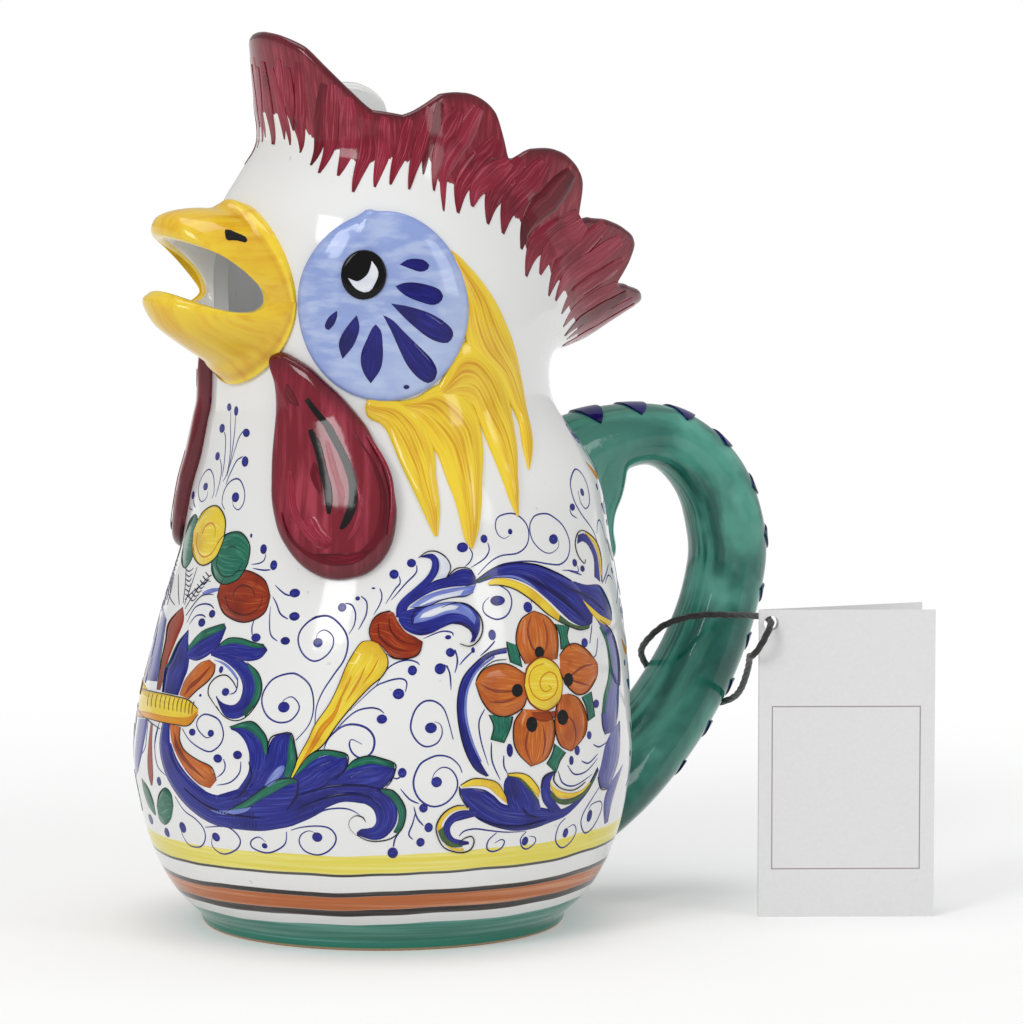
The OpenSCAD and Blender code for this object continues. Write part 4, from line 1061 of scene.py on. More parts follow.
# %% [markdown]
# ## The painter's brush
# Every stroke of the ornament is a low closed ridge of pigment on the glaze. A picture could be
# projected on the belly instead, but strokes keep their edge at any distance and carry a map that
# runs along and across them, so that the pigment streaks and pools as it does under a brush.
# %% Brush
# Share of a stroke's half width from its start to its end.
shapes = {"leaf": [0.05, 0.55, 0.9, 1, 0.85, 0.5, 0.04], "band": [0.6, 1, 1, 1, 1, 0.9, 0.4],
          "line": [0.5, 0.9, 1, 1, 0.9, 0.7, 0.25], "comet": [0.15, 1, 1, 0.42, 0.3, 0.24, 0.18, 0.05],
          "lash": [0.5, 0.85, 1, 0.96, 0.74, 0.44, 0.14]}
layer_mm, root_mm, least_share = 0.05, -0.12, 0.04
lift_step, lift_turns, dab_end = 0.3, 3, 0.12
most_steps, patch_grain, fine_grain = 90, 1.1, 0.9
# Across a stroke: share of the half width, and of the height of one layer.
broad = np.array([[-1, 0], [-0.97, 0.9], [-0.5, 1], [0, 1], [0.5, 1], [0.97, 0.9], [1, 0]])
slim = np.array([[-1, 0], [-0.6, 1], [0.6, 1], [1, 0]])
unsteady = np.random.default_rng(5)
painted = {}


def lay_stroke(pigment, low, high, layer, on, slim_below=0.7):
    """Keeps one stroke: rows of points from its low edge to its high edge, its map and its breadth."""
    half = np.linalg.norm(high - low, axis=-1).max() / 2
    section = slim if half < slim_below else broad
    place = (low + high)[:, None] / 2 + (high - low)[:, None] / 2 * section[:, 0][:, None]
    lift = layer + lift_step * (len(painted.get(pigment, [])) % lift_turns)
    up = np.where(section[:, 1] > 0, layer_mm * (lift + section[:, 1]), root_mm)
    up = np.broadcast_to(up, place.shape[:2])
    run = np.linspace(0, 1, len(low))[:, None]
    uv = np.stack(np.broadcast_arrays(run, (section[None, :, 0] + 1) / 2), -1)
    painted.setdefault(pigment, []).append((on, place, up, uv, unsteady.random(), half))


def brush(pigment, spine, half, shape="leaf", layer=0, on="belly", grain=1.3):
    """A stroke along a smooth spine; its half width follows one of the shapes."""
    spine = np.asarray(spine, float)
    length = np.linalg.norm(np.diff(spine, axis=0), axis=-1).sum()
    steps = int(np.clip(length / grain, 6, most_steps))
    u = np.linspace(0, 1, steps + 1)
    line = spline(spine, u * (len(spine) - 1))
    ahead = unit(np.gradient(line, axis=0))
    width = half * np.maximum(spline(shapes[shape], u * (len(shapes[shape]) - 1)), least_share)
    side = np.stack([-ahead[:, 1], ahead[:, 0]], -1) * width[:, None]
    lay_stroke(pigment, line - side, line + side, layer, on)


def patch(pigment, low_edge, high_edge, layer=0, on="belly"):
    """A stroke that fills the room between two smooth edges."""
    length = np.linalg.norm(np.diff(even(high_edge, 12), axis=0), axis=-1).sum()
    steps = int(np.clip(length / patch_grain, 8, most_steps))
    lay_stroke(pigment, even(low_edge, steps), even(high_edge, steps), layer, on)


def tenths(numbers):
    """Whole tenths of a millimetre as places in millimetres: along the belly and up."""
    return pairs(numbers) / 10


def dab(pigment, centre, reach, layer, on="belly", steps=10):
    """A round touch of the brush: an ellipse with its own half width and half height."""
    turn = np.pi * np.arange(steps + 1) / steps
    turn[0], turn[-1] = dab_end, np.pi - dab_end
    x, z = -np.cos(turn) * reach[0], np.sin(turn) * reach[1]
    low, high = np.stack([x, -z], -1), np.stack([x, z], -1)
    lay_stroke(pigment, low + centre, high + centre, layer, on, slim_below=0.4)


# %% [markdown]
# ## Painted balls, scrolls and leaves
# The belly carries a traditional majolica garland: balls, a scroll, acanthus leaves, a horn, a tulip
# and a flower. Places are tenths of a millimetre on the unrolled belly: along it from the near side
# of the pitcher, and up from the table. A stamp could repeat one leaf, but a painter draws each one
# anew. Broad shapes come first, their darker and lighter touches after them.
# %% Filled shapes
# For each pigment: layer, which edges get a dark outline (1 low, 2 high, 3 both), and then the low and
# the high edge of one shape after the other.
fills = {"russet": [
    (1, 3, [[-640, 977, -584, 934, -492, 918, -422, 947, -412, 995], [-640, 977, -632, 1025, -548, 1056,
     -455, 1039, -412, 995]]),
    (0, 1, [[-825, 929, -912, 876, -897, 828, -887, 769, -864, 694], [-822, 927, -791, 893, -809, 838, -832,
     772, -835, 696]]),
    (0, 0, [[-859, 603, -854, 544, -852, 492, -847, 451, -834, 427], [-841, 602, -825, 548, -812, 497, -811,
     456, -825, 428]]),
    (5, 0, [[-60, 914, -52, 888, -25, 877, -3, 856, 24, 841, 63, 841, 94, 852, 107, 883], [-60, 917, -50,
     945, -22, 963, 11, 967, 28, 942, 53, 914, 82, 900, 107, 886]])],
"leaf_green": [
    (2, 3, [[-727, 1092, -711, 1041, -637, 1011, -566, 1028, -534, 1074], [-727, 1092, -677, 1141, -593,
     1158, -538, 1126, -534, 1074]]),
    (0, 3, [[-1040, 1093, -1006, 1047, -924, 1028, -881, 1054, -868, 1105], [-1040, 1093, -1008, 1148, -925,
     1179, -877, 1155, -868, 1105]]),
    (1, 0, [[-715, 819, -669, 850, -617, 873, -565, 895], [-724, 832, -674, 876, -617, 895, -572, 908]]),
    (2, 0, [[-563, 847, -520, 858, -479, 858, -433, 853, -399, 856], [-570, 851, -541, 871, -494, 876, -442,
     869, -400, 866]]),
    (1, 0, [[-445, 804, -418, 774, -406, 741, -412, 708, -433, 677], [-445, 811, -402, 786, -383, 750, -390,
     708, -422, 666]]),
    (0, 2, [[-813, 369, -815, 332, -779, 320, -731, 345, -706, 384], [-813, 369, -782, 410, -738, 434, -707,
     420, -706, 384]]),
    (0, 0, [[-924, 434, -922, 397, -896, 359, -843, 339], [-917, 435, -862, 418, -835, 384, -835, 343]]),
    (2, 2, [[-343, 570, -362, 605, -394, 627, -427, 635, -463, 631], [-335, 570, -338, 605, -357, 632, -401,
     656, -471, 635]]),
    (4, 0, [[-281, 513, -273, 551, -272, 587, -270, 627], [-261, 510, -246, 552, -253, 595, -268, 629]]),
    (2, 0, [[-250, 513, -219, 538, -191, 564, -159, 576, -130, 571, -104, 571], [-256, 513, -238, 547, -207,
     578, -171, 589, -138, 588, -104, 580], [-98, 538, -68, 547, -37, 555, -5, 551, 29, 543], [-102, 543,
     -80, 564, -41, 576, -9, 570, 30, 556]]),
    (1, 0, [[-2, 476, 24, 456, 41, 424, 42, 392, 29, 363], [-6, 486, 28, 479, 53, 449, 63, 417, 54, 377, 39,
     359]]),
    (3, 2, [[-481, 391, -407, 413, -357, 440, -310, 466, -265, 491, -242, 497], [-479, 395, -405, 434, -347,
     473, -305, 501, -261, 509, -241, 505]]),
    (1, 3, [[573, 907, 587, 875, 584, 835], [634, 895, 618, 868, 628, 836], [388, 874, 390, 844, 394, 816],
     [428, 859, 426, 841, 432, 800], [655, 696, 672, 665, 678, 626], [704, 706, 708, 677, 714, 635], [527,
     581, 516, 554, 493, 528], [569, 552, 544, 530, 527, 499], [309, 679, 322, 646, 311, 610], [387, 669,
     376, 638, 352, 598]]),
    (2, 0, [[794, 874, 825, 825, 828, 768, 811, 729, 773, 685, 754, 639], [810, 876, 847, 822, 858, 764,
     841, 725, 798, 682, 772, 637]])],
"yellow": [
    (3, 3, [[-913, 1131, -882, 1075, -784, 1049, -707, 1076, -674, 1132], [-913, 1131, -852, 1190, -751,
     1219, -683, 1189, -674, 1132]]),
    (2, 3, [[-1040, 595, -901, 609, -782, 614, -703, 617, -637, 622, -603, 655], [-1040, 674, -976, 679,
     -822, 689, -734, 692, -660, 690, -607, 671]]),
    (4, 3, [[-258, 512, -240, 566, -214, 619, -199, 658, -164, 714, -143, 762, -122, 821, -99, 862, -79,
     885, -49, 888], [-253, 511, -217, 567, -172, 603, -133, 663, -90, 719, -48, 764, -15, 791, 2, 820, -3,
     849, -29, 880]]),
    (2, 1, [[350, 1029, 393, 1026, 442, 1011, 495, 978, 544, 939, 588, 913], [344, 1035, 381, 1047, 436,
     1038, 497, 1012, 552, 971, 601, 927]]),
    (2, 0, [[733, 941, 767, 908, 817, 881, 875, 870], [718, 959, 765, 931, 815, 905, 891, 880], [865, 1008,
     876, 1064, 856, 1101, 804, 1135], [876, 1014, 893, 1065, 870, 1107, 802, 1141]]),
    (4, 0, [[432, 750, 448, 701, 499, 674, 555, 696, 577, 745], [432, 750, 451, 799, 504, 822, 559, 795,
     577, 745]]),
    (3, 2, [[224, 484, 262, 486, 300, 478, 326, 456, 360, 429], [217, 490, 253, 506, 295, 502, 330, 488,
     354, 451], [365, 507, 402, 497, 431, 471, 467, 436], [358, 513, 397, 512, 430, 500, 460, 469, 469,
     451]]),
    (3, 0, [[506, 467, 531, 433, 566, 423, 602, 421, 645, 431, 678, 451], [505, 481, 523, 458, 564, 441,
     606, 434, 651, 440, 678, 456]]),
    (2, 0, [[240, 422, 206, 420, 179, 404, 165, 379, 172, 363], [246, 424, 207, 431, 174, 414, 155, 385,
     156, 359], [178, 325, 204, 313, 234, 310], [179, 322, 205, 303, 236, 301]])],
"dusk": [
    (0, 0, [[-1040, 903, -1040, 830, -1040, 758, -1040, 699], [-943, 881, -924, 835, -902, 785, -876, 715],
     [-1001, 594, -1002, 522, -1021, 466, -1040, 417], [-887, 608, -888, 561, -909, 502, -954, 453]]),
    (1, 0, [[775, 904, 804, 873, 831, 825, 830, 767, 813, 729, 773, 685, 754, 639, 758, 602, 769, 578],
     [800, 893, 880, 851, 913, 798, 914, 749, 896, 698, 877, 639, 857, 601, 817, 577], [808, 579, 763, 548,
     734, 495, 721, 464, 747, 427], [883, 601, 868, 517, 832, 460, 789, 421]]),
    (0, 0, [[813, 440, 778, 402, 782, 361, 810, 315], [902, 475, 864, 425, 839, 373, 837, 317]])],
"cobalt": [
    (0, 1, [[-748, 874, -792, 830, -818, 777, -837, 755, -819, 693], [-744, 870, -729, 840, -706, 807, -697,
     771, -705, 741, -716, 696]]),
    (0, 2, [[-720, 801, -662, 797, -608, 820, -574, 853, -560, 897], [-726, 806, -716, 838, -671, 877, -615,
     897, -573, 909]]),
    (1, 2, [[-586, 824, -519, 819, -472, 815, -434, 817, -403, 827, -385, 849], [-591, 837, -546, 869, -494,
     875, -442, 868, -403, 862, -385, 851]]),
    (0, 0, [[-601, 818, -533, 806, -479, 780, -452, 748, -452, 714, -470, 696, -500, 695, -525, 702, -543,
     714], [-608, 836, -511, 826, -444, 808, -398, 777, -385, 735, -401, 690, -446, 660, -496, 663, -544,
     710], [-777, 613, -777, 555, -749, 499, -704, 445, -634, 393, -544, 357, -458, 349, -366, 350], [-731,
     617, -713, 563, -673, 516, -622, 482, -566, 456, -504, 443, -445, 456, -399, 494]]),
    (1, 0, [[-431, 461, -395, 509, -391, 546, -397, 575, -414, 602, -439, 621, -464, 628], [-345, 476, -337,
     528, -335, 569, -338, 601, -357, 632, -400, 653, -469, 635]]),
    (2, 0, [[-390, 472, -341, 543, -333, 598, -311, 626, -271, 631], [-263, 507, -248, 545, -247, 574, -257,
     602, -269, 630]]),
    (0, 0, [[-518, 353, -458, 349, -366, 350, -304, 361, -262, 372, -201, 399, -206, 400, -149, 433, -106,
     448, -57, 444], [-504, 442, -435, 465, -359, 490, -297, 494, -243, 501, -237, 514, -186, 530, -103,
     533, -57, 520, 6, 487]]),
    (1, 0, [[-244, 464, -185, 474, -142, 507, -110, 533, -99, 559, -103, 578], [-255, 512, -238, 545, -207,
     577, -171, 588, -138, 587, -104, 579], [-138, 476, -57, 473, -7, 483, 20, 506, 32, 534, 31, 553],
     [-114, 533, -81, 564, -41, 575, -9, 569, 29, 555]]),
    (0, 0, [[-106, 448, -57, 445, -28, 428, -19, 400, -25, 381, -43, 374, -61, 372, -74, 361], [-57, 523,
     -8, 492, 24, 464, 41, 428, 37, 385, 7, 348, -29, 340, -73, 354]]),
    (3, 0, [[23, 952, 23, 979, 43, 1003, 85, 1032, 124, 1060, 143, 1087, 139, 1107, 99, 1113], [48, 948, 64,
     982, 107, 1019, 152, 1055, 169, 1081, 167, 1106, 145, 1122, 104, 1116], [52, 975, 94, 999, 146, 1020,
     204, 1029, 264, 1031, 300, 1034], [43, 986, 94, 1017, 147, 1047, 197, 1058, 240, 1076, 283, 1074, 302,
     1044]]),
    (4, 0, [[31, 942, 53, 917, 94, 902, 134, 906, 176, 922, 215, 932, 249, 923, 270, 899, 262, 878], [32,
     962, 77, 975, 127, 981, 179, 990, 232, 989, 275, 972, 301, 942, 296, 908, 276, 880]]),
    (1, 0, [[311, 1036, 376, 1046, 437, 1041, 498, 1017, 553, 978, 606, 934, 646, 906, 694, 888, 738, 887],
     [295, 1042, 375, 1073, 450, 1083, 534, 1072, 616, 1043, 692, 1010, 734, 969, 763, 926, 754, 892]]),
    (0, 0, [[673, 1000, 707, 962, 743, 944, 789, 917, 833, 894, 891, 880], [690, 1014, 754, 998, 842, 988,
     885, 953, 910, 913, 902, 882]]),
    (1, 0, [[817, 1013, 837, 1061, 815, 1098, 780, 1115, 743, 1112], [852, 995, 869, 1057, 850, 1098, 800,
     1135, 753, 1136]]),
    (0, 2, [[385, 842, 333, 836, 281, 805, 249, 761, 237, 718, 239, 666, 256, 602, 279, 549, 302, 511],
     [387, 857, 324, 848, 271, 819, 231, 781, 213, 727, 214, 664, 230, 591, 259, 534, 294, 510]]),
    (0, 0, [[214, 475, 234, 435, 266, 394, 325, 364, 396, 346, 464, 347, 526, 359, 582, 370, 638, 401, 686,
     438, 721, 485], [214, 481, 249, 481, 287, 475, 318, 456, 350, 429, 406, 419, 476, 408, 542, 393, 600,
     402, 658, 438, 716, 494]]),
    (1, 0, [[370, 410, 353, 447, 347, 483, 358, 504, 383, 507], [482, 399, 466, 433, 431, 468, 406, 491,
     385, 506]]),
    (2, 0, [[521, 387, 484, 423, 473, 464, 485, 493, 516, 502], [560, 391, 519, 431, 506, 464, 510, 485,
     521, 499]]),
    (1, 0, [[270, 400, 224, 391, 202, 385, 191, 366, 202, 342, 224, 334, 249, 328], [265, 416, 223, 419,
     191, 407, 171, 375, 181, 338, 216, 318, 251, 320]])],
"azure": [
    (1, 0, [[-586, 809, -538, 806, -498, 789, -474, 770], [-579, 807, -541, 798, -506, 781, -476, 760]]),
    (3, 0, [[-338, 484, -322, 511, -299, 538, -281, 543], [-326, 481, -305, 497, -286, 517, -278, 536]]),
    (3, 1, [[78, 977, 127, 981, 171, 995, 215, 1002, 256, 1003, 285, 1012], [64, 977, 111, 1005, 163, 1020,
     217, 1027, 273, 1030, 300, 1033]]),
    (5, 0, [[79, 934, 118, 940, 156, 950, 203, 959, 251, 950, 280, 926], [83, 951, 115, 975, 162, 986, 219,
     988, 266, 972, 288, 942]]),
    (1, 0, [[343, 833, 285, 800, 255, 760, 243, 718, 244, 666, 261, 602, 282, 553], [339, 839, 278, 805,
     245, 761, 232, 718, 233, 667, 251, 602, 276, 551]]),
    (0, 0, [[-723, 969, -685, 980, -637, 993], [-724, 981, -687, 994, -641, 1000]])],
"orange": [
    (1, 2, [[-712, 698, -703, 738, -677, 768, -644, 795, -604, 807], [-660, 693, -632, 718, -593, 746, -572,
     772, -574, 797], [-731, 616, -708, 571, -669, 532, -621, 493, -570, 465, -527, 459], [-673, 614, -668,
     580, -637, 552, -578, 533, -522, 519, -502, 484]]),
    (2, 3, [[495, 949, 448, 931, 424, 893, 422, 854, 444, 808], [497, 949, 548, 927, 575, 893, 576, 852,
     564, 811], [572, 773, 594, 734, 635, 705, 686, 708, 740, 742, 753, 772], [577, 820, 613, 843, 661, 843,
     715, 814, 754, 775], [560, 712, 537, 664, 533, 616, 549, 574, 590, 553], [594, 712, 640, 693, 670, 645,
     660, 594, 594, 553], [422, 686, 390, 653, 384, 602, 398, 565, 438, 526], [510, 675, 529, 641, 526, 593,
     494, 544, 441, 527], [272, 767, 289, 719, 320, 682, 367, 670, 422, 690, 442, 729], [273, 771, 295, 798,
     336, 814, 386, 812, 443, 780]])],
"amber": [
    (3, 0, [[-1040, 596, -901, 609, -782, 614, -703, 617, -637, 622, -604, 653], [-1040, 613, -898, 627,
     -781, 633, -695, 638, -637, 646, -609, 664]])],
"pale": [
    (2, 0, [[154, 1119, 172, 1100, 171, 1076, 156, 1056], [164, 1125, 199, 1106, 210, 1082, 196, 1058]]),
    (4, 0, [[98, 980, 145, 993, 189, 1000, 238, 1006], [102, 985, 150, 1005, 198, 1014, 253, 1021]]),
    (6, 0, [[98, 948, 139, 952, 182, 965, 217, 969], [110, 961, 148, 974, 192, 982, 231, 977]])],
"olive_green": [
    (2, 0, [[261, 1027, 300, 1035, 359, 1048], [261, 1033, 295, 1043, 355, 1058]]),
    (2, 1, [[588, 913, 637, 893, 684, 879, 731, 879], [598, 930, 639, 904, 686, 890, 738, 888]]),
    (2, 0, [[172, 375, 177, 351, 199, 330, 229, 319], [156, 364, 169, 334, 200, 314, 232, 314]]),
    (3, 0, [[509, 436, 539, 413, 581, 403, 635, 413, 679, 435, 721, 484], [511, 452, 537, 429, 573, 420,
     621, 423, 670, 444, 712, 483], [358, 504, 392, 495, 426, 463, 464, 425], [360, 511, 397, 501, 431, 472,
     470, 429]])],
"deep_orange": [
    (3, 0, [[455, 656, 496, 644, 542, 655], [451, 676, 499, 672, 549, 671]])],
"black": [
    (4, 0, [[481, 837, 484, 826, 496, 819, 509, 823, 516, 834], [481, 837, 487, 848, 500, 852, 513, 845,
     516, 834], [582, 752, 585, 739, 599, 731, 615, 736, 622, 748], [582, 752, 589, 765, 605, 769, 619, 761,
     622, 748], [542, 652, 546, 637, 562, 628, 579, 633, 587, 648], [542, 652, 549, 666, 566, 672, 582, 663,
     587, 648], [428, 644, 432, 629, 446, 620, 461, 626, 467, 641], [428, 644, 434, 658, 449, 664, 463, 656,
     467, 641], [389, 740, 392, 727, 405, 720, 420, 725, 426, 737], [389, 740, 395, 752, 410, 757, 423, 750,
     426, 737]])]}
outline_half = 0.2
for pigment, groups in fills.items():
    for layer, outline, edges in groups:
        for low_edge, high_edge in zip(edges[::2], edges[1::2]):
            patch(pigment, tenths(low_edge), tenths(high_edge), layer)
            for wanted, edge in ((1, low_edge), (2, high_edge)):
                if outline & wanted:
                    brush("black", tenths(edge), outline_half, "band", layer + 1, grain=fine_grain)
print("filled shapes:", sum(len(group[2]) // 2 for groups in fills.values() for group in groups))

# %% [markdown]
# ## Veins, outlines and touches
# With a finer brush the painter goes over the shapes: veins in the petals and leaves, the dark
# outline of the horn and the scroll, and short hairs on the balls. Each is a stroke along its spine.
# %% Lines
# For each pigment and shape of stroke: half width in millimetres, layer, and the spines.
lines = {("deep_russet", "lash"): [
    (0.45, 2, [[-603, 980, -565, 949, -498, 938, -448, 958, -440, 993], [-567, 983, -563, 1004, -531, 1016,
     -492, 1009, -472, 991]]),
    (0.4, 6, [[-32, 935, -26, 900, 15, 870, 66, 859], [0, 948, 9, 914, 42, 887, 90, 876]])],
("deep_leaf_green", "lash"): [
    (0.45, 3, [[-695, 1090, -686, 1053, -635, 1031, -582, 1044, -557, 1077], [-664, 1088, -645, 1108, -611,
     1115, -586, 1102, -584, 1080]])],
("amber", "lash"): [
    (0.45, 4, [[-868, 1132, -850, 1092, -784, 1072, -726, 1092, -700, 1132], [-826, 1133, -805, 1157, -765,
     1169, -735, 1157, -730, 1133]])],
("leaf_green", "leaf"): [
    (0.5, 1, [[-943, 881, -924, 835, -902, 785, -873, 717]]),
    (0.6, 1, [[-749, 872, -795, 831, -821, 777, -842, 754, -826, 708]])],
("black", "band"): [
    (0.2, 2, [[-450, 812, -405, 789, -382, 750, -389, 707, -420, 666, -459, 653, -501, 663, -534, 686]]),
    (0.22, 5, [[-336, 590, -328, 617, -299, 629, -267, 631, -252, 595, -244, 556, -259, 511]]),
    (0.24, 3, [[-257, 512, -239, 547, -207, 579, -171, 590, -138, 589, -102, 580, -98, 557, -110, 531, -131,
     515], [-103, 541, -81, 565, -41, 577, -8, 571, 32, 556, 33, 534, 22, 506, 5, 487]]),
    (0.24, 2, [[-8, 487, 28, 481, 55, 449, 64, 417, 55, 375, 28, 347, -8, 337, -44, 339, -74, 354]]),
    (0.26, 6, [[3, 969, -30, 961, -51, 944, -60, 914, -51, 887]]),
    (0.2, 6, [[-3, 853, 24, 840, 63, 840, 96, 852, 108, 885]]),
    (0.24, 6, [[170, 975, 214, 986, 255, 983, 289, 963, 308, 935, 305, 902, 285, 878, 258, 868, 228, 876]]),
    (0.2, 3, [[295, 1043, 375, 1074, 450, 1084, 534, 1073, 616, 1044, 679, 1016]]),
    (0.2, 2, [[274, 775, 295, 801, 337, 823, 384, 825]]),
    (0.22, 4, [[473, 462, 482, 493, 521, 503, 520, 478, 551, 453, 605, 442, 655, 458], [230, 432, 206, 433,
     173, 416, 153, 386, 153, 356, 175, 315, 222, 297, 256, 303, 266, 326, 257, 342, 236, 338, 222, 328],
     [214, 487, 218, 460, 240, 424]]),
    (0.2, 3, [[801, 895, 881, 853, 916, 797, 920, 748, 902, 697], [753, 639, 754, 602, 768, 577], [719, 464,
     745, 426, 794, 420]])],
("black", "line"): [
    (0.24, 2, [[-472, 741, -492, 759, -522, 772, -558, 763, -580, 740, -578, 716, -561, 702, -522, 675]]),
    (0.24, 4, [[97, 1111, 127, 1127, 164, 1127, 197, 1109, 211, 1082, 195, 1056, 226, 1077, 255, 1081, 284,
     1075, 301, 1051]]),
    (0.2, 6, [[78, 928, 73, 948, 89, 971, 127, 982]]),
    (0.2, 3, [[864, 994, 899, 1061, 876, 1107, 802, 1142, 755, 1142, 731, 1114, 737, 1081, 766, 1055, 779,
     1065]])],
("deep_orange", "leaf"): [
    (0.7, 2, [[-685, 699, -663, 727, -627, 753, -591, 790], [-696, 595, -677, 560, -623, 522, -543, 483]]),
    (0.55, 3, [[487, 940, 465, 902, 473, 854, 497, 828], [525, 929, 535, 888, 528, 849, 508, 827], [732,
     779, 676, 778, 632, 766, 603, 753], [696, 723, 647, 737, 609, 749], [593, 557, 616, 591, 607, 632, 578,
     656], [441, 533, 423, 578, 431, 618, 448, 644], [478, 549, 492, 592, 485, 641], [283, 767, 325, 745,
     373, 738, 412, 739], [312, 714, 361, 711, 405, 720]])],
("olive", "line"): [
    (0.24, 4, [[-920, 677, -920, 659, -909, 642], [-882, 680, -883, 662, -873, 645], [-845, 683, -846, 664,
     -837, 647], [-813, 685, -813, 666, -805, 649], [-783, 686, -783, 668, -776, 650], [-756, 687, -756,
     669, -749, 651], [-730, 688, -731, 670, -724, 652], [-707, 688, -708, 670, -702, 653], [-686, 689,
     -686, 671, -681, 653], [-665, 689, -666, 671, -661, 653], [-647, 689, -647, 671, -642, 653], [-631,
     689, -632, 671, -627, 653]])],
("deep_cobalt", "leaf"): [
    (0.5, 4, [[-237, 461, -149, 490, -57, 495, -7, 483]]),
    (0.45, 4, [[-246, 421, -171, 454, -106, 470, -42, 464, 0, 428], [-237, 505, -243, 460, -275, 417]]),
    (0.5, 4, [[-637, 446, -550, 407, -452, 391, -344, 390], [-393, 546, -381, 507, -408, 463, -447, 433]]),
    (0.6, 6, [[193, 932, 236, 931, 270, 912, 281, 888]]),
    (0.7, 3, [[471, 1048, 544, 1015, 610, 977, 668, 936, 721, 902]]),
    (0.6, 3, [[610, 1021, 671, 992, 758, 963, 842, 917]]),
    (0.6, 4, [[270, 394, 333, 369, 413, 359, 503, 369]]),
    (0.5, 4, [[411, 414, 438, 388, 481, 376]]),
    (0.5, 3, [[831, 857, 848, 733, 891, 698]])],
("fine_blue", "leaf"): [
    (0.6, 4, [[-710, 564, -670, 517, -610, 476, -540, 446]]),
    (0.5, 4, [[-211, 522, -172, 548, -140, 560], [-96, 512, -57, 534, -15, 538]]),
    (0.6, 3, [[398, 1061, 462, 1057, 526, 1036, 566, 1005]]),
    (0.7, 4, [[238, 459, 289, 428, 353, 396, 440, 380]])],
("azure", "leaf"): [
    (0.7, 4, [[-531, 397, -480, 395, -413, 407, -384, 420]]),
    (0.5, 3, [[371, 1051, 438, 1047, 489, 1027, 529, 1000]])],
("black", "comet"): [
    (0.24, 2, [[-47, 391, -57, 406, -78, 409, -94, 393, -93, 373, -75, 353]])],
("amber", "leaf"): [
    (0.9, 5, [[-238, 538, -201, 599, -176, 648, -146, 687, -125, 745]]),
    (0.5, 5, [[-104, 794, -120, 756, -144, 704], [-64, 820, -87, 770, -116, 722]]),
    (0.4, 5, [[-23, 846, -44, 805, -72, 770]])],
("deep_orange", "band"): [
    (0.28, 5, [[432, 750, 448, 701, 499, 674, 555, 696, 577, 745], [432, 750, 451, 799, 504, 822, 559, 795,
     577, 745]])],
("amber", "band"): [
    (0.28, 5, [[510, 804, 471, 796, 450, 768, 457, 727, 491, 704, 531, 711, 553, 736, 550, 767, 523, 779,
     493, 764, 488, 743, 502, 727, 528, 733, 518, 744]])],
("cobalt", "leaf"): [
    (0.36, 1, [[-256, 938, -236, 948, -207, 953]])],
("ink", "line"): [
    (0.2, 1, [[-831, 939, -863, 988, -911, 1033], [-818, 936, -815, 993, -815, 1041], [-806, 927, -757, 992,
     -708, 1030], [-858, 932, -911, 969, -970, 1005], [-989, 917, -996, 956, -1040, 997], [-898, 927, -1035,
     948, -1040, 960]]),
    (0.26, 1, [[-915, 1027, -870, 1024, -840, 1036], [-898, 1015, -855, 1011, -835, 1022], [-881, 1002,
     -841, 999, -830, 1009], [-865, 990, -827, 986, -824, 995], [-851, 977, -814, 973, -818, 982], [-837,
     964, -802, 960, -813, 968], [-804, 961, -773, 952, -751, 963], [-794, 973, -763, 965, -743, 974],
     [-784, 985, -754, 977, -735, 985], [-775, 998, -745, 989, -728, 997], [-765, 1010, -736, 1001, -720,
     1008], [-756, 1022, -727, 1013, -712, 1019], [-746, 1034, -718, 1025, -704, 1030], [-786, 910, -736,
     964, -698, 977, -660, 980]]),
    (0.22, 1, [[-825, 950, -782, 979, -722, 1010, -698, 1012]])]}
for (pigment, shape), groups in lines.items():
    for half, layer, spines in groups:
        for spine in spines:
            brush(pigment, tenths(spine), half, shape, layer, grain=fine_grain)
print("lines:", sum(len(group[2]) for groups in lines.values() for group in groups))

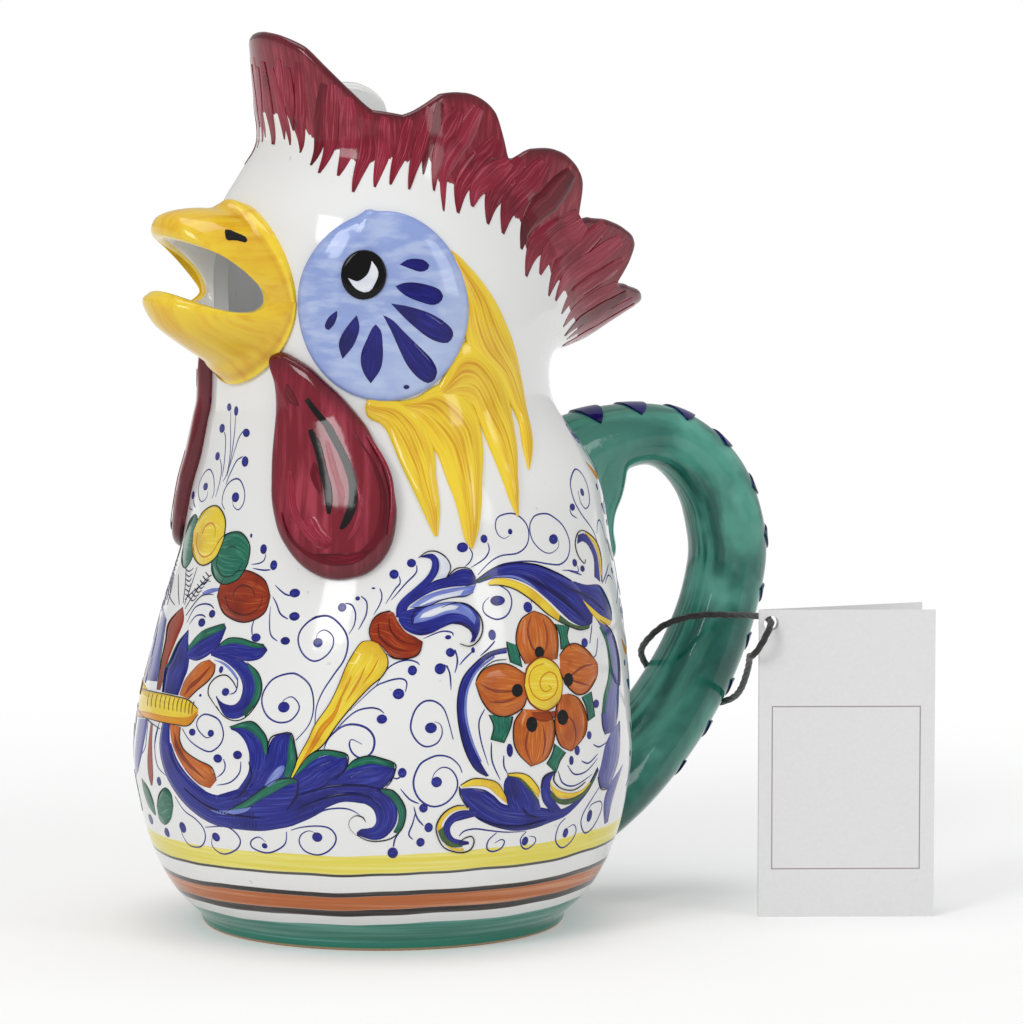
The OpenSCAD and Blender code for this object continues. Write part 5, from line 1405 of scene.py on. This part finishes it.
# %% [markdown]
# ## Fine blue tails and dots
# Between the leaves the painter fills the white with thin curls and short bent tails, each with a
# dot at its end, where the brush is pressed down. A tail is a thin stroke along its spine, and four
# numbers make a dot: its place along the belly and up, its half width and its half height.
# %% Tails and dots
tail_more, least_dot, dot_steps, tail_grain = 1.3, 0.35, 8, 0.8
tails = [
    (0.25, [[-474, 768, -470, 743, -476, 728, -494, 722], [-798, 596, -804, 543, -778, 491, -728, 471],
     [-882, 600, -877, 533, -919, 500], [-795, 612, -808, 573, -804, 536], [-419, 544, -422, 512, -453, 483,
     -502, 470], [-480, 545, -472, 528, -478, 509, -502, 491], [-264, 373, -206, 400, -164, 423, -121, 430,
     -89, 426, -64, 412], [725, 1054, 724, 1036, 685, 1043, 644, 1048], [739, 1026, 709, 1035, 672, 1044],
     [360, 1145, 364, 1124, 342, 1102, 287, 1080], [311, 1059, 353, 1086, 403, 1106, 464, 1109, 502, 1126,
     518, 1156, 511, 1188, 479, 1214, 445, 1220, 406, 1212, 394, 1188, 402, 1164, 422, 1153, 442, 1159],
     [358, 1069, 405, 1083, 461, 1086, 520, 1083, 588, 1070, 640, 1065, 684, 1083, 701, 1123, 677, 1168,
     632, 1198, 598, 1209, 551, 1206, 525, 1180, 530, 1141, 563, 1110, 600, 1099, 639, 1111, 646, 1132],
     [887, 1105, 862, 1140, 792, 1193, 759, 1239, 770, 1284, 836, 1312, 876, 1297, 885, 1256, 868, 1215,
     830, 1203, 801, 1225, 803, 1255], [726, 1210, 733, 1195, 763, 1182], [897, 1126, 915, 1153, 945, 1159,
     971, 1133, 994, 1087], [968, 1032, 904, 1004, 864, 989], [-755, 1482, -723, 1393, -720, 1314, -737,
     1287], [-711, 1472, -703, 1426, -710, 1349, -717, 1303], [-784, 1422, -765, 1402, -754, 1345, -749,
     1300], [-639, 1438, -668, 1415, -690, 1378, -710, 1331], [-792, 1347, -766, 1322, -757, 1283, -766,
     1242], [-634, 1364, -672, 1348, -700, 1310, -712, 1280], [-793, 1236, -785, 1258, -815, 1295, -869,
     1311, -921, 1292, -942, 1256, -911, 1227, -872, 1220, -836, 1236, -836, 1253], [-693, 1213, -715, 1229,
     -716, 1260, -695, 1287, -657, 1301, -624, 1295, -594, 1267, -593, 1236, -616, 1218, -644, 1226, -652,
     1240], [-983, 1214, -955, 1202, -935, 1198], [-1040, 1201, -1029, 1187, -967, 1187], [378, 1031, 415,
     1009, 422, 977, 400, 945, 361, 936, 321, 954, 319, 979, 344, 997], [348, 878, 325, 860, 293, 840],
     [212, 861, 218, 829, 208, 798], [183, 820, 193, 791, 194, 751], [725, 837, 741, 867, 751, 887], [776,
     847, 755, 805, 736, 797], [697, 559, 728, 548, 773, 555], [636, 520, 671, 510, 718, 530], [575, 515,
     604, 487, 657, 488, 717, 517], [537, 503, 556, 468, 607, 454, 688, 476], [350, 564, 349, 536, 359,
     515], [297, 695, 277, 661, 281, 609, 301, 540], [313, 603, 313, 551, 337, 497], [455, 1022, 488, 996,
     493, 971], [983, 987, 938, 1004, 891, 985], [219, 345, 235, 359, 268, 363, 312, 355, 368, 346, 435,
     342], [335, 347, 311, 327, 309, 303, 328, 293, 355, 300, 364, 319, 351, 326, 332, 317], [435, 340, 418,
     322, 428, 297, 449, 290, 473, 305, 470, 321, 447, 327], [583, 364, 558, 343, 555, 303, 588, 277, 623,
     287, 643, 316, 627, 339, 599, 334], [733, 432, 701, 405, 666, 369, 661, 338, 693, 306, 736, 320, 768,
     363, 754, 389, 705, 388, 690, 374]]),
    (0.3, [[-200, 661, -201, 705, -188, 747, -158, 796, -131, 837, -124, 882, -140, 916, -177, 945, -211,
     952, -252, 939, -281, 910, -284, 879, -262, 846, -226, 829, -192, 842, -171, 870, -174, 898, -201, 914,
     -223, 904, -226, 885]]),
    (0.28, [[-252, 613, -217, 658, -210, 709, -228, 762, -270, 790, -305, 791, -351, 773, -375, 736, -372,
     703, -348, 673, -312, 659, -275, 666, -254, 693, -258, 714, -281, 730, -305, 719, -307, 704]]),
    (0.25, [[-663, 610, -621, 582, -566, 564, -528, 562, -496, 586, -491, 617, -513, 648, -548, 659, -581,
     658, -601, 639, -594, 618, -561, 599, -540, 600, -531, 614]]),
    (0.34, [[-168, 593, -155, 624, -121, 655, -85, 662, -48, 651, -27, 624, -31, 589, -58, 570, -84, 582,
     -96, 605, -90, 621, -60, 608]]),
    (0.25, [[-3, 693, -19, 704, -48, 707, -88, 695, -128, 657, -158, 618], [57, 750, 61, 774, 49, 785, 26,
     785, -4, 777, -37, 761, -103, 698], [98, 822, 90, 830, 63, 836, 28, 829, -2, 809, -32, 764], [175, 822,
     189, 806, 193, 782, 194, 752], [209, 860, 217, 839, 214, 815, 207, 798], [207, 898, 202, 908, 167, 911,
     110, 893], [-145, 987, -123, 983, -108, 961, -109, 930, -124, 904], [-95, 1007, -75, 992, -73, 961,
     -85, 934, -95, 917], [-35, 1029, -26, 1009, -32, 985, -50, 958], [30, 1062, 33, 1043, 16, 1026, -13,
     987], [90, 1091, 87, 1070, 50, 1040, 5, 997], [284, 1135, 296, 1117, 286, 1097, 262, 1082], [-337,
     1000, -363, 1005, -404, 1025], [-331, 938, -361, 950, -383, 976, -403, 994], [269, 854, 243, 836, 223,
     818]]),
    (0.28, [[198, 617, 182, 676, 167, 707, 140, 724, 110, 722, 86, 699, 75, 661, 81, 634, 101, 609, 124,
     600, 152, 610, 166, 635, 161, 659, 144, 668], [222, 525, 213, 546, 188, 568, 155, 575, 126, 567, 101,
     550, 85, 512, 89, 477, 109, 448, 142, 433, 178, 443, 204, 473, 208, 505, 191, 534, 166, 542, 144, 528,
     136, 509]]),
    (0.25, [[48, 518, 38, 514, 27, 517], [100, 443, 74, 456, 48, 486], [114, 380, 96, 402, 86, 435], [85,
     341, 73, 356, 84, 388, 91, 420], [30, 320, 34, 342, 48, 364], [-265, 361, -234, 371, -188, 377, -152,
     372, -134, 350, -139, 325, -163, 302, -194, 293, -228, 303, -243, 327, -235, 350, -212, 362, -193,
     357], [-688, 416, -650, 380, -605, 363, -575, 339, -574, 309, -603, 282, -656, 279, -681, 303, -686,
     325], [-565, 343, -478, 353, -437, 324, -453, 292, -509, 271, -548, 288, -544, 315], [-279, 356, -290,
     317, -344, 290, -395, 300, -398, 320, -371, 334, -350, 322], [-462, 1107, -466, 1089, -486, 1079, -519,
     1074], [-433, 1065, -464, 1062, -510, 1064], [-450, 887, -457, 907, -454, 928], [-356, 877, -382, 892,
     -395, 926, -403, 968], [-670, 917, -693, 921, -727, 914, -751, 889], [-639, 944, -667, 952, -710, 949,
     -747, 933, -769, 892], [-535, 1155, -535, 1158]])]
dots = [
    -510, 727, 14, 11, -610, 708, 5, 4, -545, 785, 8, 10, -772, 448, 12, 13, -900, 320, 21, 15, -776, 300,
    14, 14, -432, 561, 15, 12, -501, 545, 16, 12, 713, 1062, 12, 11, 751, 1042, 12, 9, 346, 1156, 14, 12,
    446, 1170, 8, 8, 622, 1136, 20, 14, 829, 1249, 12, 11, 743, 1215, 15, 10, -770, 1493, 18, 11, -710,
    1486, 15, 14, -809, 1431, 24, 13, -624, 1430, 21, 12, -816, 1352, 19, 12, -618, 1351, 19, 15, -865,
    1263, 20, 11, -640, 1251, 20, 14, -1002, 1226, 24, 12, 373, 986, 26, 14, 477, 961, 16, 15, 340, 895, 13,
    15, 195, 854, 14, 12, 162, 811, 17, 15, 698, 842, 16, 13, 725, 669, 16, 12, 679, 587, 11, 12, 618, 552,
    11, 14, 591, 527, 9, 13, 370, 577, 10, 19, 435, 314, 11, 13, 593, 320, 11, 14, 700, 355, 13, 18, -219,
    879, 15, 13, -301, 701, 18, 15, -538, 611, 12, 10, -615, 606, 14, 10, -8, 677, 15, 13, 37, 745, 17, 15,
    77, 808, 14, 14, 161, 810, 16, 15, 196, 853, 14, 12, 190, 895, 10, 6, -154, 976, 14, 12, -106, 1001, 8,
    6, -56, 1029, 6, 3, 12, 1067, 16, 13, 72, 1097, 16, 12, 259, 1136, 21, 14, -324, 1008, 19, 12, -310,
    946, 18, 12, 270, 857, 6, 8, 133, 651, 17, 15, 149, 502, 15, 15, 53, 530, 12, 14, 113, 430, 12, 13, 129,
    374, 12, 14, 107, 332, 12, 13, 28, 303, 15, 16, -188, 345, 15, 14, -673, 329, 16, 16, -527, 319, 15, 13,
    -354, 310, 9, 8, -782, 298, 12, 9, -774, 449, 11, 8, -474, 1119, 14, 14, -423, 1078, 14, 14, -434, 881,
    17, 12, -328, 879, 16, 11, -683, 901, 18, 12, -641, 929, 15, 11, -536, 1152, 5, 6]
for half, spines in tails:
    for spine in spines:
        brush("fine_blue", tenths(spine), half * tail_more, "line", 0, grain=tail_grain)
dots = tenths(dots).reshape(-1, 4)
for along_mm, up_mm, half_w, half_h in dots:
    dab("cobalt", (along_mm, up_mm), (max(half_w, least_dot), max(half_h, least_dot)), 1, steps=dot_steps)
print("tails:", sum(len(spines) for half, spines in tails), "dots:", len(dots))

# %% [markdown]
# ## Sprigs beside the handle
# Four small sprigs climb beside the handle, leaning left and right in turn. Each has a stem, three
# leaves, a curl that winds in, and four dots. They could be drawn one by one; a function draws one
# from its foot up, and a loop calls it for each. A last touch of yellow lies round the front.
# %% Sprigs
sprig_mm, sprig_feet = 110, [(40, 1), (66, -1), (92, 1), (116, -1)]
stem_half, leaf_half, bud_half, twirl_half = 0.35, 1.7, 1.3, 0.3
twirl_w, twirl_h, twirl_start, twirl_sweep, twirl_in, twirl_steps = 4.0, 4.4, -90.0, 560.0, 0.2, 26
sprig_dot = (0.8, 0.9)


def sprig(foot_z, side):
    """One sprig from its foot up; side is 1 where it leans forwards and -1 where it leans back."""
    def at(along_mm, up_mm):
        """A place beside the sprig's middle."""
        return sprig_mm + along_mm * side, foot_z + up_mm

    stem = [at(-12, 0), at(-2, 5), at(2, 12), at(3, 19)]
    brush("fine_blue", stem, stem_half, "line", 0, grain=tail_grain)
    brush("cobalt", [stem[1], at(4, 2), at(10, 4)], leaf_half, "leaf", 1)
    brush("leaf_green", [stem[2], at(-4, 13), at(-9, 18)], leaf_half, "leaf", 1)
    brush("amber", [stem[2], at(7, 12), at(12, 16)], bud_half, "leaf", 1)
    q = np.linspace(0, 1, twirl_steps)
    turn, size = np.radians(twirl_start + twirl_sweep * q), 1 + (twirl_in - 1) * q
    twirl = np.stack([np.cos(turn) * twirl_w * size, np.sin(turn) * twirl_h * size], -1) + at(4, 23)
    brush("fine_blue", twirl, twirl_half, "line", 0, grain=0.7)
    for dot in (at(-10, 9), at(11, 9), at(-3, 22), at(4, 23)):
        dab("cobalt", dot, sprig_dot, 1, steps=dot_steps)


for foot_z, side in sprig_feet:
    sprig(foot_z, side)
patch("yellow", tenths([-1223, 655, -1189, 622, -1123, 617, -1044, 614, -970, 608]),
      tenths([-1219, 671, -1166, 690, -1092, 692, -1004, 689, -960, 684]), 0)

# %% [markdown]
# ## Strokes on the face, comb and handle
# The same brush works on any surface that can turn two numbers and a height into a point. On the
# disc, the eye and the wattle they are millimetres from the middle, on the comb round it and up from
# its top ring, and on the handle along it and round it. The beak is a grid, so there they are a row
# and a column.
# %% Face strokes
# Outline of each petal from its inner tip over the upper edge, and the place of its outer end there.
petals = [
    ([4.4, 11.6, 6.5, 12.9, 8.7, 13.1, 11.2, 12.6, 12.5, 11.2, 11.9, 10, 10, 9.5, 7.2, 10.4], 4),
    ([3.2, 5.8, 5.7, 6.7, 8.5, 6.7, 12.1, 5.9, 15, 4.7, 16.1, 2.8, 15.3, 1.2, 13.1, 0.5, 9.9, 1.4,
      6.4, 2.9, 4.3, 4.5], 5),
    ([2, 1.2, 5.6, 0.6, 9.5, -0.5, 12.7, -1.8, 16.4, -4.1, 18.6, -6.4, 18.8, -8.2, 17.4, -10,
      14.5, -9.7, 11.2, -8, 7.3, -4.6, 4.5, -1.7], 6),
    ([-0.2, -1.9, 2.4, -3.4, 5.5, -6.8, 9, -10.4, 12.6, -14.1, 14.3, -17.5, 13.7, -20.1, 11.8,
      -21.1, 9, -19.6, 6.2, -16.2, 4.1, -11.8, 2, -6.7], 6),
    ([-2.2, -4.5, -0.8, -6.4, -0.4, -10, -0.4, -14, -1.2, -17.3, -3.7, -20.9, -5.4, -18.4, -6.3,
      -15.5, -6.1, -12.2, -4.6, -8.5, -3.2, -5.6], 5),
    ([-7.2, -2, -6.6, -4.2, -6.7, -6.7, -8.2, -10.4, -9.9, -12.6, -11.2, -14.1, -12.1, -11.2,
      -12.1, -9.3, -11, -6.8, -8.8, -3.8], 5),
    ([-12.5, -0.8, -12.5, -2.4, -13.4, -4.7, -14.9, -6.2, -16, -5.6, -15.8, -4.4, -14.9, -2.7,
      -13.4, -1.4], 3)]
for outline, end in petals:
    outline = pairs(outline)
    low_edge, high_edge = np.concatenate([outline[:1], outline[:end - 1:-1]]), outline[:end + 1]
    patch("navy", low_edge, high_edge, 1, "disc")
dab("navy", (5.8, -22.0), (0.8, 0.6), 1, "disc")
patch("pale", pairs([-3.1, 12.6, -3.5, 10.7, -4.4, 8.8, -6.4, 7.3, -7.8, 7.5, -9.2, 8.1]),
      pairs([-3.1, 12.6, -1.7, 10.7, -1.3, 8.9, -2.2, 6.5, -3.3, 4.8, -5, 4.3, -7.4, 5.5, -9.2, 8.1]),
      1, "eye")

# %% Wattle strokes
# Pigment, half width, layer and spine.
wattle_strokes = [
    ("black", 1.0, 4, [-7.4, 18.2, -2.5, 11.1, 1.1, 3.7, 3.4, -3.7, 3.8, -9.9, 2.5, -14.6, 1.2, -17.1]),
    ("black", 0.95, 4, [-6.4, 8.8, -4.7, 4.4, -3.3, -2.6, -2.1, -7.9, -1.7, -13.2]),
    ("wine", 0.9, 1, [4.6, 8.6, 8.5, 1.2, 10.4, -5.7, 10.8, -11.4, 9.6, -18.5, 6.4, -23.5, 2.9, -26.2,
                      -2.3, -26.2, -7.6, -23.4, -11.4, -19.2, -13.4, -13.5]),
    ("wine", 1.7, 2, [-5.6, -24.6, 0.1, -25.4, 4.2, -25, 7.6, -22.8]),
    ("wine", 1.3, 1, [-5.7, 0.4, -5.4, -3.6, -3.9, -8.5]),
    ("wine", 1.4, 1, [-13.2, 22.2, -12.1, 18.5, -9.6, 16.2]),
    ("rose", 0.8, 0, [-2.2, 6.1, -0.7, -2.1, 0.9, -7.8, 1, -13.1]),
    ("rose", 0.6, 3, [4.5, -5.4, 5.6, -10.7, 4.6, -16.2, 2.6, -20.4]),
    ("rose", 1.0, 0, [-12.1, -2.5, -10.5, -12.1, -7.1, -17.9, -3.3, -21.9]),
    ("rose", 2.4, 0, [-6.6, -14.6, -4.5, -18.6, -1.4, -22]),
    ("rose", 0.5, 2, [8.2, 7.6, 12, -1.2, 12.9, -9.6, 11.8, -18.5])]
for pigment, half, layer, spine in wattle_strokes:
    brush(pigment, pairs(spine), half, "leaf" if pigment == "wine" else "band", layer, "wattle")

# %% Nostril
# Row round the mouth and column from the collar to the lip.
patch("black", pairs([32, 10.6, 31, 10.8, 30.8, 9.4, 30, 8.2, 31, 7.5]),
      pairs([32, 10.6, 34.8, 9.3, 33.2, 8.2, 32.2, 7.4, 31, 7.5]), 1, "beak")

# %% [markdown]
# ## Touches on the handle
# Navy dabs cross the ridge of the handle at even steps, each a little longer or shorter than the
# last. They could be bands in the glaze; a brush laid down and lifted leaves its own pointed shape.
# %% Handle touches
touch_from, touch_end, touch_gap, touch_half = 16, 150, 13.0, 3.2
touch_low, touch_high = -8.5, 9.0
handle_run = np.concatenate([[0], np.cumsum(np.linalg.norm(np.diff(handle_line, axis=0), axis=-1))])
for run_mm in np.arange(touch_from, touch_end, touch_gap):
    low, high = touch_low - unsteady.random(), touch_high + unsteady.random()
    brush("navy", [(run_mm, low), (run_mm + 1, 0), (run_mm, high)], touch_half, "leaf", 1, "handle",
          grain=0.7)
print("touches on the handle:", len(painted["navy"]) - len(petals) - 1)

# %% [markdown]
# ## Strokes on the comb
# Long strokes run down from the edge of each lobe and end in points on the white. They follow the
# table of the comb, which also draws the hem of the ground colour, and three reds take turns.
# %% Comb strokes
order = ["crimson", "rose", "crimson", "rose", "crimson", "crimson", "wine"]
below_edge = 0.8
for k, (x, z, top_x, top_z, half) in enumerate(comb_strokes):
    high = max(min(top_z, float(lobe(np.degrees(top_x / comb_r))) - below_edge), below_edge)
    spine = [(top_x, high), (top_x * 0.6 + x * 0.4, high * 0.62 + z * 0.38),
             (top_x * 0.2 + x * 0.8, high * 0.3 + z * 0.7), (x, z)]
    slimmer = np.interp(x, [20, 60], [0.95, 0.72])
    brush(order[k % len(order)], spine, half * slimmer, "lash", (k * 2) % 5, "comb", grain=1.0)
print("strokes on the comb:", len(comb_strokes))

# %% [markdown]
# ## Where each stroke lies
# A stroke knows only its two numbers and its height. Here they become a point, on the near side or
# as the stroke's twin on the far side. A twin mirrors its stroke, and the belly's are turned a little
# as well, so that both sides meet at the front. Strokes round the front and on the handle have none.
# %% Where each stroke lies
belly_zero, belly_up = 60, 0.5
far_turn, far_from = 26.9, -77.0
wattle_turn, beak_off = 5, 0.05
handle_more, handle_off = 4, 0.1
beak_middle = [-50, 0, mouth_z]


def sample_grid(points, row, col):
    """Point at a row and column of a grid between its four neighbours, and the way off the grid."""
    rows, cols = points.shape[:2]
    i, j = np.clip(np.floor(row).astype(int), 0, rows - 2), np.floor(col).astype(int)
    f, g = (row - i)[..., None], (col - j)[..., None]
    a, b = points[i, j % cols], points[i, (j + 1) % cols]
    c, d = points[i + 1, j % cols], points[i + 1, (j + 1) % cols]
    normal = unit(np.cross((b - a) * (1 - f) + (d - c) * f, (c - a) * (1 - g) + (d - b) * g))
    return (a * (1 - g) + b * g) * (1 - f) + (c * (1 - g) + d * g) * f, normal


def lay_on(on, x, z, h, far):
    """Points of strokes on one of the surfaces, on its near side or as the far side's twin."""
    twin = -1 if far else 1
    if on == "belly":
        a = belly_zero + np.degrees(x / belly_r)
        return over_skin(-a - far_turn if far else a, z + belly_up, h)
    if on in ("disc", "eye"):
        share = np.hypot(x / disc_half_w, z / disc_half_h)
        off = seat_gap + disc_t * crown(share) + brow(x, z)
        if on == "eye":
            off = seat_gap * 2 + disc_t + eye_t * crown(np.hypot(x - eye_at[0], z - eye_at[1]) / eye_r)
        return over_skin(disc_a + np.degrees(x / neck_r), disc_z + z, h + off) * [1, twin, 1]
    if on == "beak":
        points, out = sample_grid(upper_back, x, z)
        out *= np.sign((out * (points - beak_middle)).sum(-1, keepdims=True))
        return (points + (h + beak_off)[..., None] * out) * [1, twin, 1]
    if on == "handle":
        step = np.interp(x, handle_run, np.arange(len(handle_run)))
        rows, ahead = spline(handle_rows, step), unit(spline(np.gradient(handle_rows[:, :2], axis=0), step))
        thick = (rows[:, 2] + h * handle_more + handle_off) * np.cos(z / grip_r)
        wide = (rows[:, 3] + h * handle_more + handle_off) * np.sin(z / grip_r)
        return np.stack([rows[:, 0] - ahead[:, 1] * thick, -wide, rows[:, 1] + ahead[:, 0] * thick], -1)
    if on == "wattle":
        a = wattle_a + wattle_turn + np.degrees(x / neck_r)
        return over_skin(a, wattle_z + z, h + seat_gap + wattle_t) * [1, twin, 1]
    a, t, e = np.degrees(x / comb_r), top_ring + np.minimum(z, 0) / ring_mm, np.maximum(z, 0)
    return (skin(a, t, e) + h[..., None] * skin_normal(a, t, e)) * [1, twin, 1]


# %% [markdown]
# ## Pigments
# A majolica painter has a few oxides and thins them with water: cobalt, copper green, antimony
# yellow, iron and manganese. One function makes each of them: it streaks along the stroke, is thin
# where the brush ran dry and dark where it pooled. Only its three colours and its edge differ.
# %% Pigments
def brushed(name, main, thin, pooled, rim_share=0.6):
    """Pigment of a stroke: streaks along it, thin in its middle and pooled at its edges and end."""
    finish, tree, place = new_finish(name)
    on_stroke = add(tree, "ShaderNodeUVMap", uv_map="stroke").outputs[0]
    tone = add(tree, "ShaderNodeAttribute", attribute_name="tone").outputs["Fac"]
    breadth = add(tree, "ShaderNodeAttribute", attribute_name="breadth").outputs["Fac"]
    parts = add(tree, "ShaderNodeSeparateXYZ", {0: on_stroke}).outputs
    run_at = sums(tree, "ADD", sums(tree, "MULTIPLY", parts["X"], 1.6), sums(tree, "MULTIPLY", tone, 37.0))
    hairs = sums(tree, "ADD", 3.0, sums(tree, "MULTIPLY", breadth, 1.5))
    across = sums(tree, "ADD", sums(tree, "MULTIPLY", parts["Y"], hairs), sums(tree, "MULTIPLY", tone, 19.0))
    streak_at = add(tree, "ShaderNodeCombineXYZ", {0: run_at, 1: across}).outputs[0]
    streak = cloud(tree, streak_at, 1.6, 3.0)
    rim = sums(tree, "MULTIPLY", sums(tree, "ABSOLUTE", sums(tree, "SUBTRACT", parts["Y"], 0.5)), 2.0)
    from_rim = sums(tree, "MULTIPLY", sums(tree, "SUBTRACT", 1.0, rim), breadth)
    side_pool = step_up(tree, from_rim, 0.0, 0.9, rim_share, 0.0)
    pool = sums(tree, "MAXIMUM", side_pool, step_up(tree, parts["X"], 0.78, 1.0, 0.0, 0.7))
    pool = sums(tree, "MULTIPLY", pool, sums(tree, "ADD", 0.35, streak), clamp=True)
    wash = over(tree, step_up(tree, streak, 0.46, 0.74), paint(*main), paint(*thin))
    wash = over(tree, step_up(tree, cloud(tree, place, 95.0, 3.0), 0.5, 0.72, 0.0, 0.6), wash, paint(*pooled))
    fire(tree, over(tree, pool, wash, paint(*pooled)), place, ior=1.38)
    return finish


# Main colour, where it ran thin, where it pooled, its slot, and how dark its edges are if not as usual.
pigment_colours = {
    "cobalt": ((32, 36, 132), (66, 76, 176), (16, 12, 82), "glaze_sky"),
    "navy": ((20, 18, 108), (38, 40, 144), (8, 5, 66), "glaze_sky"),
    "deep_cobalt": ((18, 16, 84), (30, 30, 108), (10, 8, 58), "glaze_sky"),
    "fine_blue": ((46, 54, 142), (92, 102, 180), (28, 32, 112), "glaze_sky"),
    "azure": ((122, 138, 208), (168, 182, 228), (84, 98, 184), "glaze_sky"),
    "dusk": ((92, 94, 160), (130, 132, 184), (62, 60, 128), "glaze_sky"),
    "ink": ((28, 28, 76), (56, 58, 108), (16, 14, 50), "glaze_black"),
    "leaf_green": ((24, 106, 84), (76, 150, 124), (8, 60, 50), "glaze_green"),
    "deep_leaf_green": ((12, 66, 56), (34, 94, 80), (6, 40, 36), "glaze_green"),
    "olive_green": ((66, 96, 56), (112, 136, 66), (36, 62, 46), "glaze_green"),
    "olive": ((120, 92, 22), (150, 120, 40), (84, 62, 16), "glaze_green"),
    "yellow": ((238, 208, 52), (250, 230, 104), (214, 156, 34), "glaze_yellow"),
    "amber": ((222, 150, 24), (232, 174, 50), (196, 112, 18), "glaze_yellow"),
    "orange": ((196, 100, 34), (216, 138, 68), (150, 60, 16), "glaze_yellow"),
    "deep_orange": ((150, 58, 18), (178, 84, 36), (104, 34, 10), "glaze_yellow"),
    "russet": ((146, 44, 14), (186, 84, 40), (96, 22, 8), "glaze_crimson"),
    "deep_russet": ((104, 24, 8), (132, 44, 20), (70, 12, 4), "glaze_crimson"),
    "crimson": ((130, 18, 42), (178, 76, 92), (84, 4, 22), "glaze_crimson", 0.1),
    "rose": ((146, 34, 56), (182, 84, 100), (104, 8, 28), "glaze_crimson", 0.1),
    "wine": ((98, 6, 26), (140, 28, 48), (58, 2, 14), "glaze_crimson", 0.2),
    "black": ((16, 14, 16), (34, 30, 32), (8, 6, 6), "glaze_black"),
    "pale": ((232, 234, 240), (242, 242, 244), (196, 204, 226), "glaze_white")}
pigments = {name: (brushed("pigment_" + name, main, thin, pooled, *rim), slot_name)
            for name, (main, thin, pooled, slot_name, *rim) in pigment_colours.items()}
print("pigments:", len(pigments))

# %% [markdown]
# ## Laying the strokes
# A painter loads one pigment at a time, and here too all strokes of a pigment become one piece, the
# near side's first. Each stroke is a low closed solid with a tone and its breadth kept on its points,
# so that no two of them streak alike.
# %% Lay the strokes
total_faces = 0
for pigment, strokes in painted.items():
    points, faces, uvs, tones, start = [], [], [], [], 0
    for far in (False, True):
        for on in sorted({s[0] for s in strokes}):
            group = [s for s in strokes if s[0] == on]
            if far and on == "belly":
                group = [s for s in group if s[1][..., 0].mean() >= far_from]
            if not group or (far and on == "handle"):
                continue
            flat = np.concatenate([s[1].reshape(-1, 2) for s in group])
            high = np.concatenate([s[2].ravel() for s in group])
            points.append(lay_on(on, flat[:, 0], flat[:, 1], high, far))
            for s in group:
                rows, cols = s[1].shape[:2]
                faces += [[v + start for v in f] for f in capped(rows, cols)]
                uvs.append(s[3].reshape(-1, 2))
                tones.append(np.full((rows * cols, 2), [s[4], s[5]]))
                start += rows * cols
    finish, slot_name = pigments[pigment]
    tones = np.concatenate(tones)
    make_piece("painted_" + pigment, np.concatenate(points), faces, finish, crease=70,
               maps={"stroke": np.concatenate(uvs), "tone": tones[:, 0], "breadth": tones[:, 1]})
    total_faces += len(faces)
print("faces in all strokes:", total_faces)
